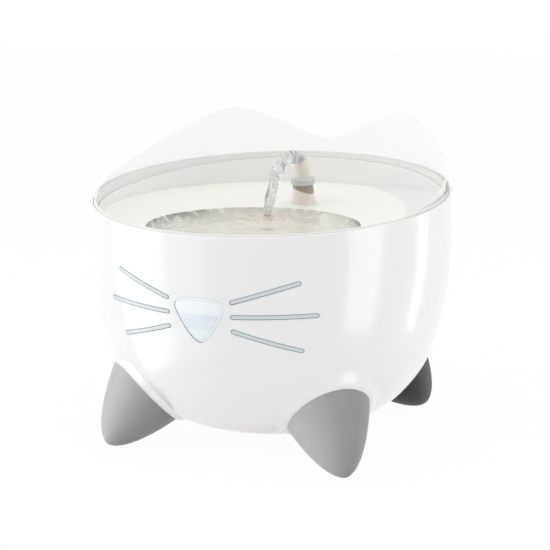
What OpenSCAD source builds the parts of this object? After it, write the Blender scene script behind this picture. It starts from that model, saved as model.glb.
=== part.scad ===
// Pet water fountain: a round bowl on four cone legs, with an eared splash guard, a lift-out
// drinking tray with a turning spout, a lift-out filter pan and a submersible pump.
// Millimetres. The bowl's axis is Z, its face looks towards -Y and the floor is Z = 0.
// The rim, guard, tray and spout are square to a rim plane that drops towards the front.

/* [Bowl] */
// Outside radius of the bowl at its widest
bowl_r = 119.4; // [117:0.2:126]
// Height of the widest ring
bowl_wide_z = 131; // [126:1:136]
// Height of the flat underside above the floor
belly_z = 8.5; // [6:0.5:12]
// Radius of the round lower edge
belly_edge_r = 74; // [66:1:78]
// Angle off vertical at which the side runs into the round lower edge
side_angle = 16.5; // [15:0.5:20]
// Radius of the inward curve above the widest ring
shoulder_r = 370; // [300:10:600]
// Height of the rim plane on the bowl's axis
rim_z = 160.5; // [156:0.5:166]
// Drop of the rim plane towards the front, in degrees
rim_tilt = 5; // [3:0.5:6]
// Wall of the bowl
bowl_wall = 3; // [2.4:0.1:4]

/* [Rim seat] */
// Wall left outside the seat at the widest part of the bowl
seat_wall = 2.9; // [2.8:0.1:4]
// Forward shift of the seat's centre
seat_shift = 0.8; // [0:0.1:1.2]
// Depth of the ledge that carries the guard and the tray
ledge_depth = 24; // [22:0.5:27]
// Width of that ledge
ledge_w = 4.8; // [4:0.2:6]
// Thickness of the ledge at its edge
ledge_t = 2; // [1.5:0.5:3]
// Gap between parts that lift out of each other
lift_gap = 0.3; // [0.3:0.05:0.5]

/* [Splash guard] */
// Wall of the splash guard
guard_wall = 2.2; // [1.6:0.1:2.6]
// Height of the guard's lip over the rim plane at the front
guard_lip = 0.8; // [0.4:0.2:2]
// Height of the ears over the rim plane
ear_h = 37.5; // [30:0.5:45]
// Height of the dip between the ears over the rim plane
ear_dip_h = 13.4; // [8:0.2:20]
// Angle of each ear's peak from the back
ear_angle = 35; // [30:1:40]

/* [Drinking tray] */
// Wall and floor of the tray
tray_wall = 2.1; // [1.8:0.1:2.5]
// How far the tray's edge lies under the rim plane at the back
tray_back_drop = 1.2; // [0.6:0.1:2]
// How far it lies under the rim plane at the sides and the front
tray_drop = 5.2; // [4:0.1:5.6]
// Angle between the rim plane and the tray's edge behind the sides
tray_edge_tilt = 2.5; // [1.5:0.1:3.5]
// Gap between the pool and the tray's wall at the front
pool_gap_front = 13.1; // [12:0.1:16]
// Gap between the pool and the tray's wall at the back
pool_gap_back = 72.1; // [71:0.1:84]
// Sideways place of the pool's centre
pool_x = -1; // [-4:0.5:4]
// Water level
water_z = 142.5; // [141:0.5:143.5]
// Depth of the pool
pool_depth = 9; // [7:0.5:9.5]
// Slope of the floor round the pool, in degrees
floor_slope = 6.5; // [5:0.25:7]
// Gap between the foot of the tray's side slope and the tray's wall
slope_gap = 17.1; // [15:0.1:19]
// Distance of the side slope's axis to the left of the bowl's axis
slope_left = 47; // [45:0.5:49]
// Place of the side slope's axis behind the bowl's axis
slope_back = 11; // [8:0.5:14]
// Depth of the side slope's foot under the rim plane
slope_depth = 13; // [12:0.5:14]
// Angle of the side slope off square
slope_angle = 69; // [67:0.5:71]
// Number of drain slots
drain_count = 7; // [3:2:9]
// Width of a drain slot
drain_w = 3; // [2:0.5:4]

/* [Spout] */
// Sideways place of the spout
spout_x = 4; // [0:0.5:8]
// Distance of the spout's axis behind the pool
spout_gap = 10; // [9.5:0.5:12]
// Outside radius of the spout tube
spout_r = 5.6; // [5:0.1:6]
// Bore of the spout tube
spout_bore_r = 2.7; // [2.2:0.1:2.8]
// Radius of the spout's base at its foot
spout_foot_r = 8.3; // [7.8:0.1:9]
// Height of the spout's base
spout_base_h = 13.5; // [12:0.5:16]
// Height of the collar
collar_h = 4.6; // [3.5:0.1:6]
// Outside radius of the collar
collar_r = 8.4; // [7.8:0.1:9.4]
// Straight length of the tube over the collar
spout_straight = 4; // [3:0.5:9]
// Radius of the spout's bend
spout_bend_r = 12; // [10:0.5:14]
// Angle that the spout bends through
spout_bend = 52; // [40:1:65]
// Direction that the spout points in, from the front towards the left
spout_aim = 9; // [0:1:20]
// Radial running clearance of the turning spout
spin_gap = 0.06; // [0.03:0.01:0.1]

/* [Legs] */
// How far inside the bowl's widest ring each leg's apex stands
leg_inset = 1.4; // [-1:0.2:5]
// Lean of each leg off vertical
leg_lean = 41; // [38:1:44]
// Length of the leg's full form
leg_len = 75; // [70:1:80]
// Radius of the leg's form at its full length
leg_root_r = 35; // [32:1:38]
// Angle of the front legs from the front
front_leg_angle = 44; // [40:1:50]
// Angle of the rear legs from the back
rear_leg_angle = 49; // [42:1:52]
// How far the white collar over each leg stands out of the bowl
leg_collar = 2.2; // [1.5:0.1:3.5]
// Wall of a leg
leg_wall = 2.6; // [2:0.2:3.4]
// Depth of the flat worn into the rubber tip
tip_flat = 0.5; // [0.4:0.1:1.2]
// Length of the rubber tip along the leg
tip_len = 5; // [4:0.5:7]
// Radius of the peg that holds a leg
peg_r = 7; // [6:0.25:8]
// Where the peg ends along the leg
peg_end = 24; // [23:0.5:26]
// Radius of a leg screw's shank
screw_r = 1.6; // [1.3:0.1:2]
// Length of a leg screw's shank
screw_len = 15; // [12:1:17]

/* [Face] */
// Width of a whisker window
whisker_w = 3; // [2.4:0.2:3.6]
// Distance of the whiskers' inner ends from the middle
whisker_in_x = 20.8; // [18.6:0.2:22]
// Height of the middle whisker's inner end
whisker_z = 103.2; // [100:0.2:108]
// Height between the whiskers' inner ends
whisker_pitch = 9; // [7:0.2:9.6]
// Distance of the outer ends of the upper and lower whiskers from the middle
whisker_out_x = 57.6; // [50:0.5:60]
// Distance of the middle whisker's outer end from the middle
whisker_mid_x = 66.4; // [60:0.5:70]
// Rise of the upper whisker, and fall of the lower one
whisker_rise = 11.8; // [9:0.2:14]
// Half width of the nose
nose_half_w = 15.8; // [13:0.2:16.6]
// Height of the nose's lowest point
nose_z = 85.5; // [84:0.5:90]
// Height of the nose's widest line above that point
nose_wide = 21; // [17:0.5:23]
// Height of the nose above its widest line
nose_cap = 7.5; // [6.5:0.5:10]
// How far the windows stand out of the bowl
window_proud = 0.4; // [0.2:0.1:0.8]
// Thickness of the clear plate behind the windows
window_plate = 1.6; // [1.2:0.2:2.4]

/* [Filter] */
// Gap between the filter pan and the ledge's opening
pan_gap = 12.2; // [11:0.2:15]
// Height of the filter pan's underside
pan_z = 104; // [102:0.5:106]
// Height of the filter pan
pan_h = 18; // [16:0.5:19]
// Wall of the filter pan
pan_wall = 1.8; // [1.4:0.1:2.2]
// Thickness of the carbon layer
carbon_t = 8; // [5:0.5:8.5]
// Thickness of the filter pad
pad_t = 6; // [4:0.5:6]
// Spacing of the grille slots
slot_pitch = 12; // [10:1:16]
// Width of a grille slot
slot_w = 3; // [2:0.5:5]
// Radius of the filter pan's hole for the riser
pan_hole_r = 12; // [11.6:0.2:12.6]

/* [Pump] */
// Width of the pump
pump_w = 44; // [42:1:46]
// Height of the pump
pump_h = 36; // [34:1:36]
// Length of the motor case in front of the impeller chamber
motor_len = 32; // [30:1:36]
// Radius of the impeller chamber
chamber_r = 13; // [12.5:0.1:13.2]
// Length of the impeller chamber
chamber_len = 9; // [8:0.5:10]
// Height of the pump's seat above the floor
seat_z = 22; // [21.5:0.5:24]
// Height of a suction cup
cup_h = 6; // [5.5:0.5:7]
// Radius of the magnet
magnet_r = 7.2; // [6.5:0.1:7.4]
// Radius of the impeller
impeller_r = 11.5; // [10:0.5:11.5]
// Number of impeller blades
blade_count = 6; // [4:1:8]
// Radius of the shaft
shaft_r = 1.2; // [1:0.1:1.5]
// Travel of the intake cover
cover_travel = 5; // [3:0.5:5]

/* [Inlet and lead] */
// Height of the power inlet
inlet_z = 124; // [120:0.5:126]
// Radius of the inlet's barrel
inlet_r = 5.5; // [5:0.25:6.5]
// Radius of the inlet's flange
inlet_flange_r = 8; // [7.5:0.25:9]
// Radius of the jack's bore
jack_r = 2.8; // [2.5:0.1:3]
// Radius of the lead
lead_r = 1.8; // [1.5:0.1:2.2]

/* [Hidden] */
$fn = 96;

eps = 0.01;
far = 300;

// Bowl outline: three arcs that run into each other
join_z = belly_z + belly_edge_r * (1 - sin(side_angle));
side_r = (bowl_wide_z - join_z) / sin(side_angle);
join_r = bowl_r - side_r * (1 - cos(side_angle));
belly_r = join_r - belly_edge_r * cos(side_angle);
outline_top = rim_z + 16;

// Rim seat, in the rim frame
seat_r = bowl_r - seat_wall;
guard_r = seat_r - lift_gap;
tray_r = guard_r - guard_wall - lift_gap;
ledge_r = seat_r - ledge_w;
ledge_h = -ledge_depth;
dish_r = tray_r - tray_wall;
rest_gap = 0.3;

// Pool, side slope and spout, from the tray's inner wall
pool_r = dish_r - (pool_gap_front + pool_gap_back) / 2;
pool_front = dish_r - pool_gap_front - pool_r;
slope_r = dish_r - slope_gap + slope_left;
spout_y = pool_r - pool_front + spout_gap;
slope_under = ledge_depth * 1.6;
slope_over = ledge_depth * 2;

// Spout and riser, in the rim frame, along the spout's axis
stub_r = 5;
stub_bore_r = 2.8;
floor_z_at_spout = water_z + (norm([spout_x - pool_x, spout_y + pool_front]) - pool_r) * tan(floor_slope);
pad_h = (floor_z_at_spout - rim_z) * cos(rim_tilt) - spout_y * sin(rim_tilt) + 1;
pad_r = spout_foot_r + 1.8;
stub_end = pad_h - 14;
cup_wall = 1.4;
cup_gap = 0.9;
cup_r = stub_r + cup_gap + cup_wall;
cup_top = pad_h - 4.5;
cup_bottom = stub_end - 2.5;
riser_r = 4.8;
riser_bore_r = 2.8;
collar_base = pad_h + spout_base_h;

// Pump: everything stands round the point where the riser's axis meets the shaft's height
pump_x = spout_x;
pump_z = seat_z + cup_h;
shaft_z = pump_z + pump_h / 2;
shaft_h = (shaft_z - rim_z) / cos(rim_tilt) - spout_y * tan(rim_tilt);
chamber_y = spout_y * cos(rim_tilt) - shaft_h * sin(rim_tilt);
function riser_y(z) = chamber_y - (z - shaft_z) * tan(rim_tilt);
case_front = chamber_y - chamber_len / 2 - motor_len;
case_back = chamber_y + chamber_len / 2;
well_r = magnet_r + 0.8;
well_len = 26;
bush_r = 3;
bush_len = 3;
coil_r = 15;
coil_in_r = well_r + 1.4;
coil_len = 18;
cap_t = 4;
lens_r = 11;
cover_plate_t = 2.5;
cover_plate_r = chamber_r + 1.2;
dial_t = 1.8;
dial_r = 12;
dial_pin_r = 1.55;
dial_head_r = 2.4;
dial_head_t = 0.6;
tongue_len = cover_travel - 0.5;
tongue_t = 1.6;
tongue_h = 10;
tongue_root = 4;
tongue_x = pump_w / 2 - 4.6;
window_in_r = 4.6;
window_out_r = 9.6;
window_half = 30;
boss_r = 7.4;
boss_top = pump_z + pump_h + 6;
cover_len = 11.5;
cover_y = case_back + rest_gap;
dial_y = case_back + cover_plate_t + rest_gap;
cover_wall = 1.6;
cover_slot_pitch = 5;
cover_slot_w = 2.4;
cover_slot_end = 6;
cover_lift = 2;
pump_corner_r = 4;
seat_pad_r = 29;
stand_wall = 3;
seat_pad_y = chamber_y - motor_len / 2 + 2;
cup_foot_r = 7;

// Inlet
inlet_face = bowl_r - 2.6;
flange_t = 2.2;
gasket_t = 0.8;
inlet_boss_r = 11;
inlet_boss_len = 6;
barrel_len = 14;
nut_t = 3.5;
jack_depth = 9.5;
barrel_in = inlet_face - flange_t - gasket_t - barrel_len + 1.6;

// Filter pan
pan_r = ledge_r - pan_gap;
hole_rise = 6.5;
pan_hole = [spout_x, riser_y(pan_z + pan_h + hole_rise)];
pan_collar_w = 2;
notch_half_w = 12;
notch_room = 17.4;
notch_y = barrel_in - notch_room;
lid_t = 2.4;
media_gap = 0.3;
slot_reach = pan_r - 8;

// Legs: the lowest point of the leaning form, found from its own outline
leg_apex_r = bowl_r - leg_inset;
function leg_radius(s) = leg_root_r * pow(1 - pow(1 - min(s, leg_len) / leg_len, 1.266), 0.573);
leg_steps = 22;
function leg_s(i) = leg_len * pow(i / leg_steps, 2);
leg_low = min([for (s = [0:0.1:8]) s * cos(leg_lean) - leg_radius(s) * sin(leg_lean)]);
leg_apex_z = -leg_low - tip_flat;
leg_turns = [front_leg_angle, 180 - rear_leg_angle, 180 + rear_leg_angle, 360 - front_leg_angle];
web_t = 3.5;
head_r = 3.5;
head_t = 2.4;
access_r = head_r + 0.5;
leg_boss_r = 10.5;
peg_gap = 0.15;

// Route of the lead from the pump's side to the inlet, chosen by hand
lead_start = [pump_x + pump_w / 2 + 0.3, chamber_y - 22, pump_z + 20];
lead_end = [0, barrel_in - 0.4, inlet_z];
lead_route = [lead_start, lead_start + [5, 0.5, 0], [37, 46, 42], [41, 60, 39], [37, 77, 44], [24, 88, 58],
              [9, 93, 76], [1, 94, 95], [0, 93.5, 110], [0, 95, 119], lead_end - [0, 3, 0], lead_end];

// ---- Helpers ----
function arc(c, r, a0, a1, n) = [for (i = [0:n]) let (a = a0 + (a1 - a0) * i / n) c + r * [cos(a), sin(a)]];

// Points of the bowl's outline, moved inward by d
function bowl_outline(d) = concat(
    [[0, belly_z + d]],
    arc([belly_r, belly_z + belly_edge_r], belly_edge_r - d, -90, -side_angle, 12),
    arc([bowl_r - side_r, bowl_wide_z], side_r - d, -side_angle, 0, 8),
    arc([bowl_r - shoulder_r, bowl_wide_z], shoulder_r - d, 1.5,
        asin((outline_top - bowl_wide_z) / (shoulder_r - d)), 5),
    [[0, outline_top]]);

module bowl_form(d) {
    rotate_extrude() polygon(bowl_outline(d));
}

module rim_frame() {
    translate([0, 0, rim_z]) rotate([rim_tilt, 0, 0]) children();
}

module seat_frame() {
    rim_frame() translate([0, -seat_shift, 0]) children();
}

module spout_frame(h) {
    rim_frame() translate([spout_x, spout_y, h]) children();
}

module tube(r_out, r_in, h) {
    difference() {
        cylinder(r = r_out, h = h);
        translate([0, 0, -1]) cylinder(r = r_in, h = h + 2);
    }
}

// A cylinder from y0 to y1 along Y, at the pump's shaft
module on_shaft(r, y0, y1) {
    translate([pump_x, y0, shaft_z]) rotate([-90, 0, 0]) cylinder(r = r, h = y1 - y0);
}

// A block with round upright edges, from y0 to y1 along Y
module pump_block(w, h, y0, y1, z0) {
    translate([pump_x, y0, z0 + h / 2]) rotate([-90, 0, 0]) linear_extrude(y1 - y0) union() {
        square([w - 2 * pump_corner_r, h], center = true);
        square([w, h - 2 * pump_corner_r], center = true);
        for (sx = [-1, 1], sz = [-1, 1])
            translate([sx * (w / 2 - pump_corner_r), sz * (h / 2 - pump_corner_r)]) circle(r = pump_corner_r);
    }
}

// ---- Legs ----
module leg_frame(turn) {
    rotate([0, 0, turn - 90]) translate([leg_apex_r, 0, leg_apex_z]) rotate([0, -leg_lean, 0]) children();
}

// The full form of a leg, moved inward by d
module leg_form(d) {
    rotate_extrude() polygon(concat([[0, leg_s(0) + 1.6 * d]],
        [for (i = [1:leg_steps]) let (r = leg_radius(leg_s(i))) if (r > d + 0.5) [r - d, leg_s(i) + 0.4 * d]],
        [[0, leg_len + 0.4 * d]]));
}

module leg(turn) {
    color("#9c9b9d") difference() {
        leg_frame(turn) difference() {
            leg_form(0);
            difference() {
                leg_form(leg_wall);
                cylinder(r = leg_boss_r, h = leg_len * 2);
            }
            translate([0, 0, -1]) cylinder(r = leg_root_r, h = tip_len + 1);
            cylinder(r = access_r, h = peg_end - web_t);
            cylinder(r = screw_r + 0.1, h = leg_len);
            translate([0, 0, peg_end]) cylinder(r = peg_r + peg_gap, h = leg_len);
        }
        bowl_form(-leg_collar);
        translate([-far, -far, -far]) cube([2 * far, 2 * far, far]);
    }
}

module leg_tips() {
    color("#8f8e90") for (turn = leg_turns) difference() {
        leg_frame(turn) union() {
            intersection() {
                leg_form(0);
                translate([0, 0, -1]) cylinder(r = leg_root_r, h = tip_len + 1);
            }
            translate([0, 0, tip_len - 1]) cylinder(r = access_r - 0.05, h = 8);
        }
        translate([-far, -far, -far]) cube([2 * far, 2 * far, far]);
    }
}

module leg_screws() {
    color("silver") for (turn = leg_turns) leg_frame(turn) {
        translate([0, 0, peg_end - web_t - head_t]) difference() {
            cylinder(r = head_r, h = head_t);
            translate([-0.5, -head_r, -1]) cube([1, 2 * head_r, 2]);
        }
        translate([0, 0, peg_end - web_t]) cylinder(r = screw_r, h = screw_len);
    }
}

// ---- Tank ----
// Half widths of the nose at height z above its lowest point
function nose_w(z) = z <= nose_wide ? nose_half_w * pow(max(z, 0) / nose_wide, 0.6)
    : nose_half_w * sqrt(max(0, 1 - pow((z - nose_wide) / nose_cap, 4)));
nose_levels = [0, 0.3, 1, 2.2, 4, 7, 11, 15, 18.5];
nose_cap_levels = [0, 0.4, 0.65, 0.82, 0.92, 0.975, 0.995, 1];
nose_edge = concat([for (z = nose_levels) if (z < nose_wide) [nose_w(z), z]],
                   [for (k = nose_cap_levels) [nose_w(nose_wide + k * nose_cap), nose_wide + k * nose_cap]]);

// The nose's outline from the front, grown by g
module nose_area(g) {
    translate([0, nose_z + nose_wide]) scale((nose_half_w + g) / nose_half_w) translate([0, -nose_wide])
        polygon(concat([for (p = nose_edge) p],
                       [for (i = [len(nose_edge) - 1:-1:1]) [-nose_edge[i][0], nose_edge[i][1]]]));
}

// A bar with round ends from a to b
module bar_area(a, b, w) {
    turn = atan2(b[1] - a[1], b[0] - a[0]);
    translate(a) rotate(turn) union() {
        translate([0, -w / 2]) square([norm(b - a), w]);
        circle(d = w);
        translate([norm(b - a), 0]) circle(d = w);
    }
}

whisker_top_z = whisker_z + whisker_pitch;
whisker_low_z = whisker_z - whisker_pitch;
whisker_ends = [[[whisker_in_x, whisker_top_z], [whisker_out_x, whisker_top_z + whisker_rise]],
                [[whisker_in_x, whisker_z], [whisker_mid_x, whisker_z + 1]],
                [[whisker_in_x, whisker_low_z], [whisker_out_x, whisker_low_z - whisker_rise]]];

module whisker_area(w) {
    for (ends = whisker_ends) bar_area(ends[0], ends[1], w);
}

// Carries a front-view outline through the front wall
module from_front() {
    rotate([90, 0, 0]) linear_extrude(far) children();
}

module tank() {
    color("white") difference() {
        union() {
            difference() {
                union() {
                    bowl_form(0);
                    intersection() {
                        bowl_form(-leg_collar);
                        for (turn = leg_turns) leg_frame(turn) leg_form(0);
                    }
                    for (turn = leg_turns) leg_frame(turn)
                        translate([0, 0, peg_end]) cylinder(r = peg_r, h = peg_end);
                }
                bowl_form(bowl_wall);
            }
            intersection() {
                bowl_form(bowl_wall / 2);
                union() {
                    ledge_form(0);
                    pan_ribs();
                    translate([0, inlet_face - inlet_boss_len, inlet_z]) rotate([-90, 0, 0])
                        cylinder(r = inlet_boss_r, h = far);
                }
            }
        }
        rim_frame() translate([-far, -far, 0]) cube([2 * far, 2 * far, far]);
        seat_frame() translate([0, 0, ledge_h]) cylinder(r = seat_r, h = far);
        for (turn = leg_turns) leg_frame(turn)
            translate([0, 0, peg_end - 1]) cylinder(r = screw_r, h = screw_len - web_t + 1.6);
        difference() {
            from_front() union() {
                nose_area(0);
                whisker_area(whisker_w);
                mirror([1, 0]) whisker_area(whisker_w);
            }
            bowl_form(bowl_wall + eps);
        }
        translate([0, 0, inlet_z]) rotate([-90, 0, 0]) {
            cylinder(r = inlet_r + 0.1, h = far);
            translate([0, 0, inlet_face - flange_t - gasket_t]) cylinder(r = inlet_flange_r + 0.2, h = far);
        }
    }
}

// The seat's wall with its ledge and the slope under it, grown by g
module ledge_form(g) {
    drop = ledge_w + 1;
    seat_frame() rotate_extrude() polygon([[ledge_r - g, ledge_h + g], [ledge_r - g, ledge_h - ledge_t - g],
        [bowl_r, ledge_h - ledge_t - drop - 2 * g], [bowl_r + 2, ledge_h - ledge_t - drop - 2 * g],
        [bowl_r + 2, 0], [seat_r, 0], [seat_r, ledge_h + g]]);
}

// Four ribs that the filter pan stands on
module pan_ribs() {
    rib_t = 3;
    rib_h = 12;
    rib_top = pan_z - rest_gap;
    for (turn = [62, 118, 242, 298]) rotate([0, 0, turn - 90]) rotate([90, 0, 0])
        translate([0, 0, -rib_t / 2]) linear_extrude(rib_t)
            polygon([[pan_r - 6, rib_top], [bowl_r, rib_top], [bowl_r, rib_top - rib_h],
                     [bowl_r - 8, rib_top - rib_h], [pan_r - 6, rib_top - 3]]);
}

// A round stand on the bowl's floor, hollow below, with a flat top for the pump's suction cups
module pump_stand() {
    color("white") intersection() {
        bowl_form(bowl_wall + 2 * eps);
        translate([pump_x, seat_pad_y, 0]) difference() {
            cylinder(r = seat_pad_r, h = seat_z);
            translate([0, 0, -1]) cylinder(r = seat_pad_r - stand_wall, h = seat_z - stand_wall + 1);
        }
    }
}

// A window in the bowl's wall and its flange behind the wall: child 0 is the opening, child 1 the flange
module window() {
    difference() {
        intersection() {
            difference() {
                bowl_form(-window_proud);
                bowl_form(bowl_wall + window_plate);
            }
            union() {
                from_front() children(0);
                intersection() {
                    from_front() children(1);
                    bowl_form(bowl_wall + 0.05);
                }
            }
        }
        intersection() {
            ledge_form(0.2);
            bowl_form(bowl_wall);
        }
    }
}

module nose_window() {
    color("#dcecf5") window() {
        nose_area(-0.05);
        nose_area(2.5);
    }
}

// Three whisker windows on one clear plate inside the bowl
module whisker_windows() {
    color("#c8dada") window() {
        whisker_area(whisker_w - 0.1);
        whisker_plate_area();
    }
}

module whisker_plate_area() {
    margin = 4;
    in_x = whisker_in_x - 1;
    polygon([[in_x, whisker_top_z + margin],
             [whisker_out_x - 2 * margin, whisker_top_z + whisker_rise],
             [whisker_out_x + margin, whisker_top_z],
             [whisker_mid_x + margin, whisker_z],
             [whisker_out_x + margin, whisker_low_z - whisker_rise - margin],
             [in_x, whisker_low_z - margin]]);
}

// ---- Splash guard ----
// Heights of the guard's edge over the rim plane, by angle from the back, between its flat dip and front
ear_knots = [[0, ear_dip_h], [9, ear_dip_h + 5.3], [20, ear_h - 8.4], [ear_angle, ear_h], [47, ear_h - 6.2],
             [60, ear_h - 15], [76, ear_h - 24.2], [92, guard_lip + 6.4], [106, guard_lip + 2],
             [118, guard_lip], [180, guard_lip]];
function knot_slope(i) = i == 0 || i == 3 || i >= 9 ? 0
    : (ear_knots[i + 1][1] - ear_knots[i - 1][1]) / (ear_knots[i + 1][0] - ear_knots[i - 1][0]);
function hermite(p, q, mp, mq, t) = let (w = q[0] - p[0])
    (2 * t ^ 3 - 3 * t ^ 2 + 1) * p[1] + (t ^ 3 - 2 * t ^ 2 + t) * w * mp
    + (-2 * t ^ 3 + 3 * t ^ 2) * q[1] + (t ^ 3 - t ^ 2) * w * mq;
function guard_top(a) = let (i = max([for (k = [0:len(ear_knots) - 2]) if (ear_knots[k][0] <= a) k]))
    hermite(ear_knots[i], ear_knots[i + 1], knot_slope(i), knot_slope(i + 1),
            (a - ear_knots[i][0]) / (ear_knots[i + 1][0] - ear_knots[i][0]));
guard_steps = 120;
// Angle from the front of each step, and the same point's angle from the back
function step_turn(i) = 360 * i / guard_steps;
function from_back(turn) = abs(180 - turn);

// The space over the guard's edge, as a ring that is wider than the wall
module over_guard() {
    r0 = guard_r - guard_wall - 3;
    r1 = guard_r + 3;
    top = ear_h + 10;
    ring = [for (i = [0:guard_steps - 1]) let (turn = step_turn(i), h = guard_top(from_back(turn)),
                d = [sin(turn), -cos(turn)])
            each [[d[0] * r0, d[1] * r0, h], [d[0] * r1, d[1] * r1, h],
                  [d[0] * r1, d[1] * r1, top], [d[0] * r0, d[1] * r0, top]]];
    polyhedron(ring, [for (i = [0:guard_steps - 1], k = [0:3])
                      let (j = (i + 1) % guard_steps, m = (k + 1) % 4)
                      each [[4 * i + k, 4 * i + m, 4 * j + m], [4 * i + k, 4 * j + m, 4 * j + k]]]);
}

module splash_guard() {
    color("#f4f4f6") seat_frame() difference() {
        translate([0, 0, ledge_h + rest_gap]) tube(guard_r, guard_r - guard_wall, ledge_depth + ear_h + 5);
        over_guard();
    }
}

// ---- Drinking tray ----
// The space over the tray's floor, grown by g all round: cylinder, floor cone and side slope together
module dish_form(g) {
    intersection() {
        seat_frame() translate([0, 0, -far]) cylinder(r = dish_r + g, h = 2 * far);
        translate([pool_x, -pool_front, 0]) rotate_extrude() polygon([[0, water_z - g], [pool_r, water_z - g],
            [far, water_z - g + (far - pool_r) * tan(floor_slope)], [far, far], [0, far]]);
        seat_frame() translate([-slope_left, slope_back, -slope_depth - slope_under - g])
            cylinder(r1 = slope_r - slope_under * tan(slope_angle),
                     r2 = slope_r + slope_over * tan(slope_angle), h = slope_under + slope_over);
    }
}

// The pool, grown by g, with its side carried on upward through the slope
module pool_form(g) {
    translate([pool_x, -pool_front, water_z]) {
        translate([0, 0, -pool_depth - g]) cylinder(r1 = pool_r - 5 + g, r2 = pool_r + g, h = pool_depth + g);
        cylinder(r1 = pool_r + g, r2 = pool_r + 1.5 + g, h = 16);
    }
}

// The space over the tray's edge: parallel to the rim plane in front, steeper behind
module over_tray() {
    intersection() {
        seat_frame() translate([-far, -far, -tray_drop]) cube([2 * far, 2 * far, far]);
        seat_frame() translate([0, tray_r, -tray_back_drop]) rotate([tray_edge_tilt, 0, 0])
            translate([-far, -far, 0]) cube([2 * far, 2 * far, far]);
    }
}

module drinking_tray() {
    color("#f4f3ee") difference() {
        union() {
            difference() {
                union() {
                    intersection() {
                        dish_form(tray_wall);
                        seat_frame() translate([0, 0, ledge_h + rest_gap]) cylinder(r = tray_r, h = 100);
                    }
                    pool_form(tray_wall);
                    seat_frame() translate([0, 0, ledge_h + rest_gap])
                        tube(tray_r, dish_r, ledge_depth);
                }
                dish_form(0);
                pool_form(0);
            }
            spout_frame(pad_h - 3.4) cylinder(r = pad_r, h = 3.4);
            spout_frame(stub_end) cylinder(r = stub_r, h = pad_h - stub_end);
        }
        over_tray();
        spout_frame(stub_end - 1) cylinder(r = stub_bore_r, h = far);
        spout_frame(stub_end + 2.5) difference() {
            cylinder(r = stub_r + 1, h = 2);
            translate([0, 0, -1]) cylinder(r = stub_r - 0.8, h = 4);
        }
        for (i = [0:drain_count - 1]) rotate([0, 0, (i - (drain_count - 1) / 2) * 6])
            translate([-drain_w / 2, -pool_front - pool_r - 7.5, 0]) {
                translate([0, 0, pan_z + pan_h + 4]) cube([drain_w, 4.5, 40]);
                translate([0, 0, water_z]) cube([drain_w, 12, 20]);
            }
    }
}

module stub_seal() {
    color("#5a5c60") spout_frame(stub_end + 2.6) tube(stub_r + 0.5, stub_r - 0.75, 1.8);
}

module spout_base() {
    color("#e8e2dc") spout_frame(pad_h) difference() {
        cylinder(r1 = spout_foot_r, r2 = collar_r - 1.4, h = spout_base_h);
        translate([0, 0, -1]) cylinder(r = spout_r + spin_gap, h = spout_base_h + 2);
    }
}

module spout_collar() {
    color("#b4b7ba") spout_frame(collar_base + rest_gap) difference() {
        union() {
            cylinder(r = collar_r, h = collar_h - 1);
            translate([0, 0, collar_h - 1]) cylinder(r1 = collar_r, r2 = collar_r - 1, h = 1);
        }
        translate([0, 0, -1]) cylinder(r = spout_r, h = collar_h + 2);
    }
}

module spout_tube() {
    straight_top = collar_base + rest_gap + collar_h + spout_straight;
    color("#e6ecee") {
        spout_frame(pad_h + 0.4) tube(spout_r, spout_bore_r, straight_top - pad_h - 0.4);
        spout_frame(straight_top) rotate([0, 0, -90 - spout_aim]) translate([spout_bend_r, 0, 0])
            rotate([90, 0, 0]) rotate([0, 0, 180 - spout_bend]) rotate_extrude(angle = spout_bend)
                translate([spout_bend_r, 0]) difference() {
                    circle(r = spout_r);
                    circle(r = spout_bore_r);
                }
    }
}

module riser_tube() {
    color("#d8d8d6") difference() {
        union() {
            riser_axis(riser_foot) cylinder(r = riser_r, h = cup_bottom - riser_foot);
            riser_axis(cup_bottom - 3) cylinder(r1 = riser_r, r2 = cup_r, h = 3);
            riser_axis(cup_bottom) cylinder(r = cup_r, h = cup_top - cup_bottom);
        }
        riser_axis(riser_foot - 1) cylinder(r = riser_bore_r, h = far);
        riser_axis(cup_bottom) cylinder(r = cup_r - cup_wall, h = far);
    }
}

module riser_axis(h) {
    spout_frame(h) children();
}

// Where the riser starts, along its axis: a little way down into the pump's boss
riser_foot = (boss_top - 5 - rim_z) / cos(rim_tilt) - spout_y * tan(rim_tilt);

// ---- Filter ----
module pan_area(d) {
    difference() {
        circle(r = pan_r - d);
        translate(pan_hole) circle(r = pan_hole_r + d);
        translate([-notch_half_w - d, notch_y - d]) square([2 * (notch_half_w + d), far]);
    }
}

// Rows of slots on both sides of a middle rib, kept off the riser's hole and the notch
module grille_slots(z, h) {
    rows = floor((slot_reach - 6) / slot_pitch);
    for (k = [-rows:rows]) {
        x = k * slot_pitch;
        reach = sqrt(slot_reach ^ 2 - x ^ 2);
        back = abs(x - pan_hole[0]) < pan_hole_r + 10 ? pan_hole[1] - pan_hole_r - 8 : reach;
        translate([x - slot_w / 2, -reach, z]) cube([slot_w, reach - 4, h]);
        translate([x - slot_w / 2, 4, z]) cube([slot_w, back - 4, h]);
    }
}

module filter_pan() {
    color("#eceef0") difference() {
        translate([0, 0, pan_z]) linear_extrude(pan_h) pan_area(0);
        translate([0, 0, pan_z + pan_wall]) linear_extrude(pan_h) pan_area(pan_wall);
        grille_slots(pan_z - 1, pan_wall + 2);
    }
}

module carbon_layer() {
    color("#303236") translate([0, 0, pan_z + pan_wall]) linear_extrude(carbon_t)
        pan_area(pan_wall + media_gap);
}

module filter_pad() {
    color("#f2f5f7") translate([0, 0, pan_z + pan_wall + carbon_t]) linear_extrude(pad_t)
        pan_area(pan_wall + media_gap);
}

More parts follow.
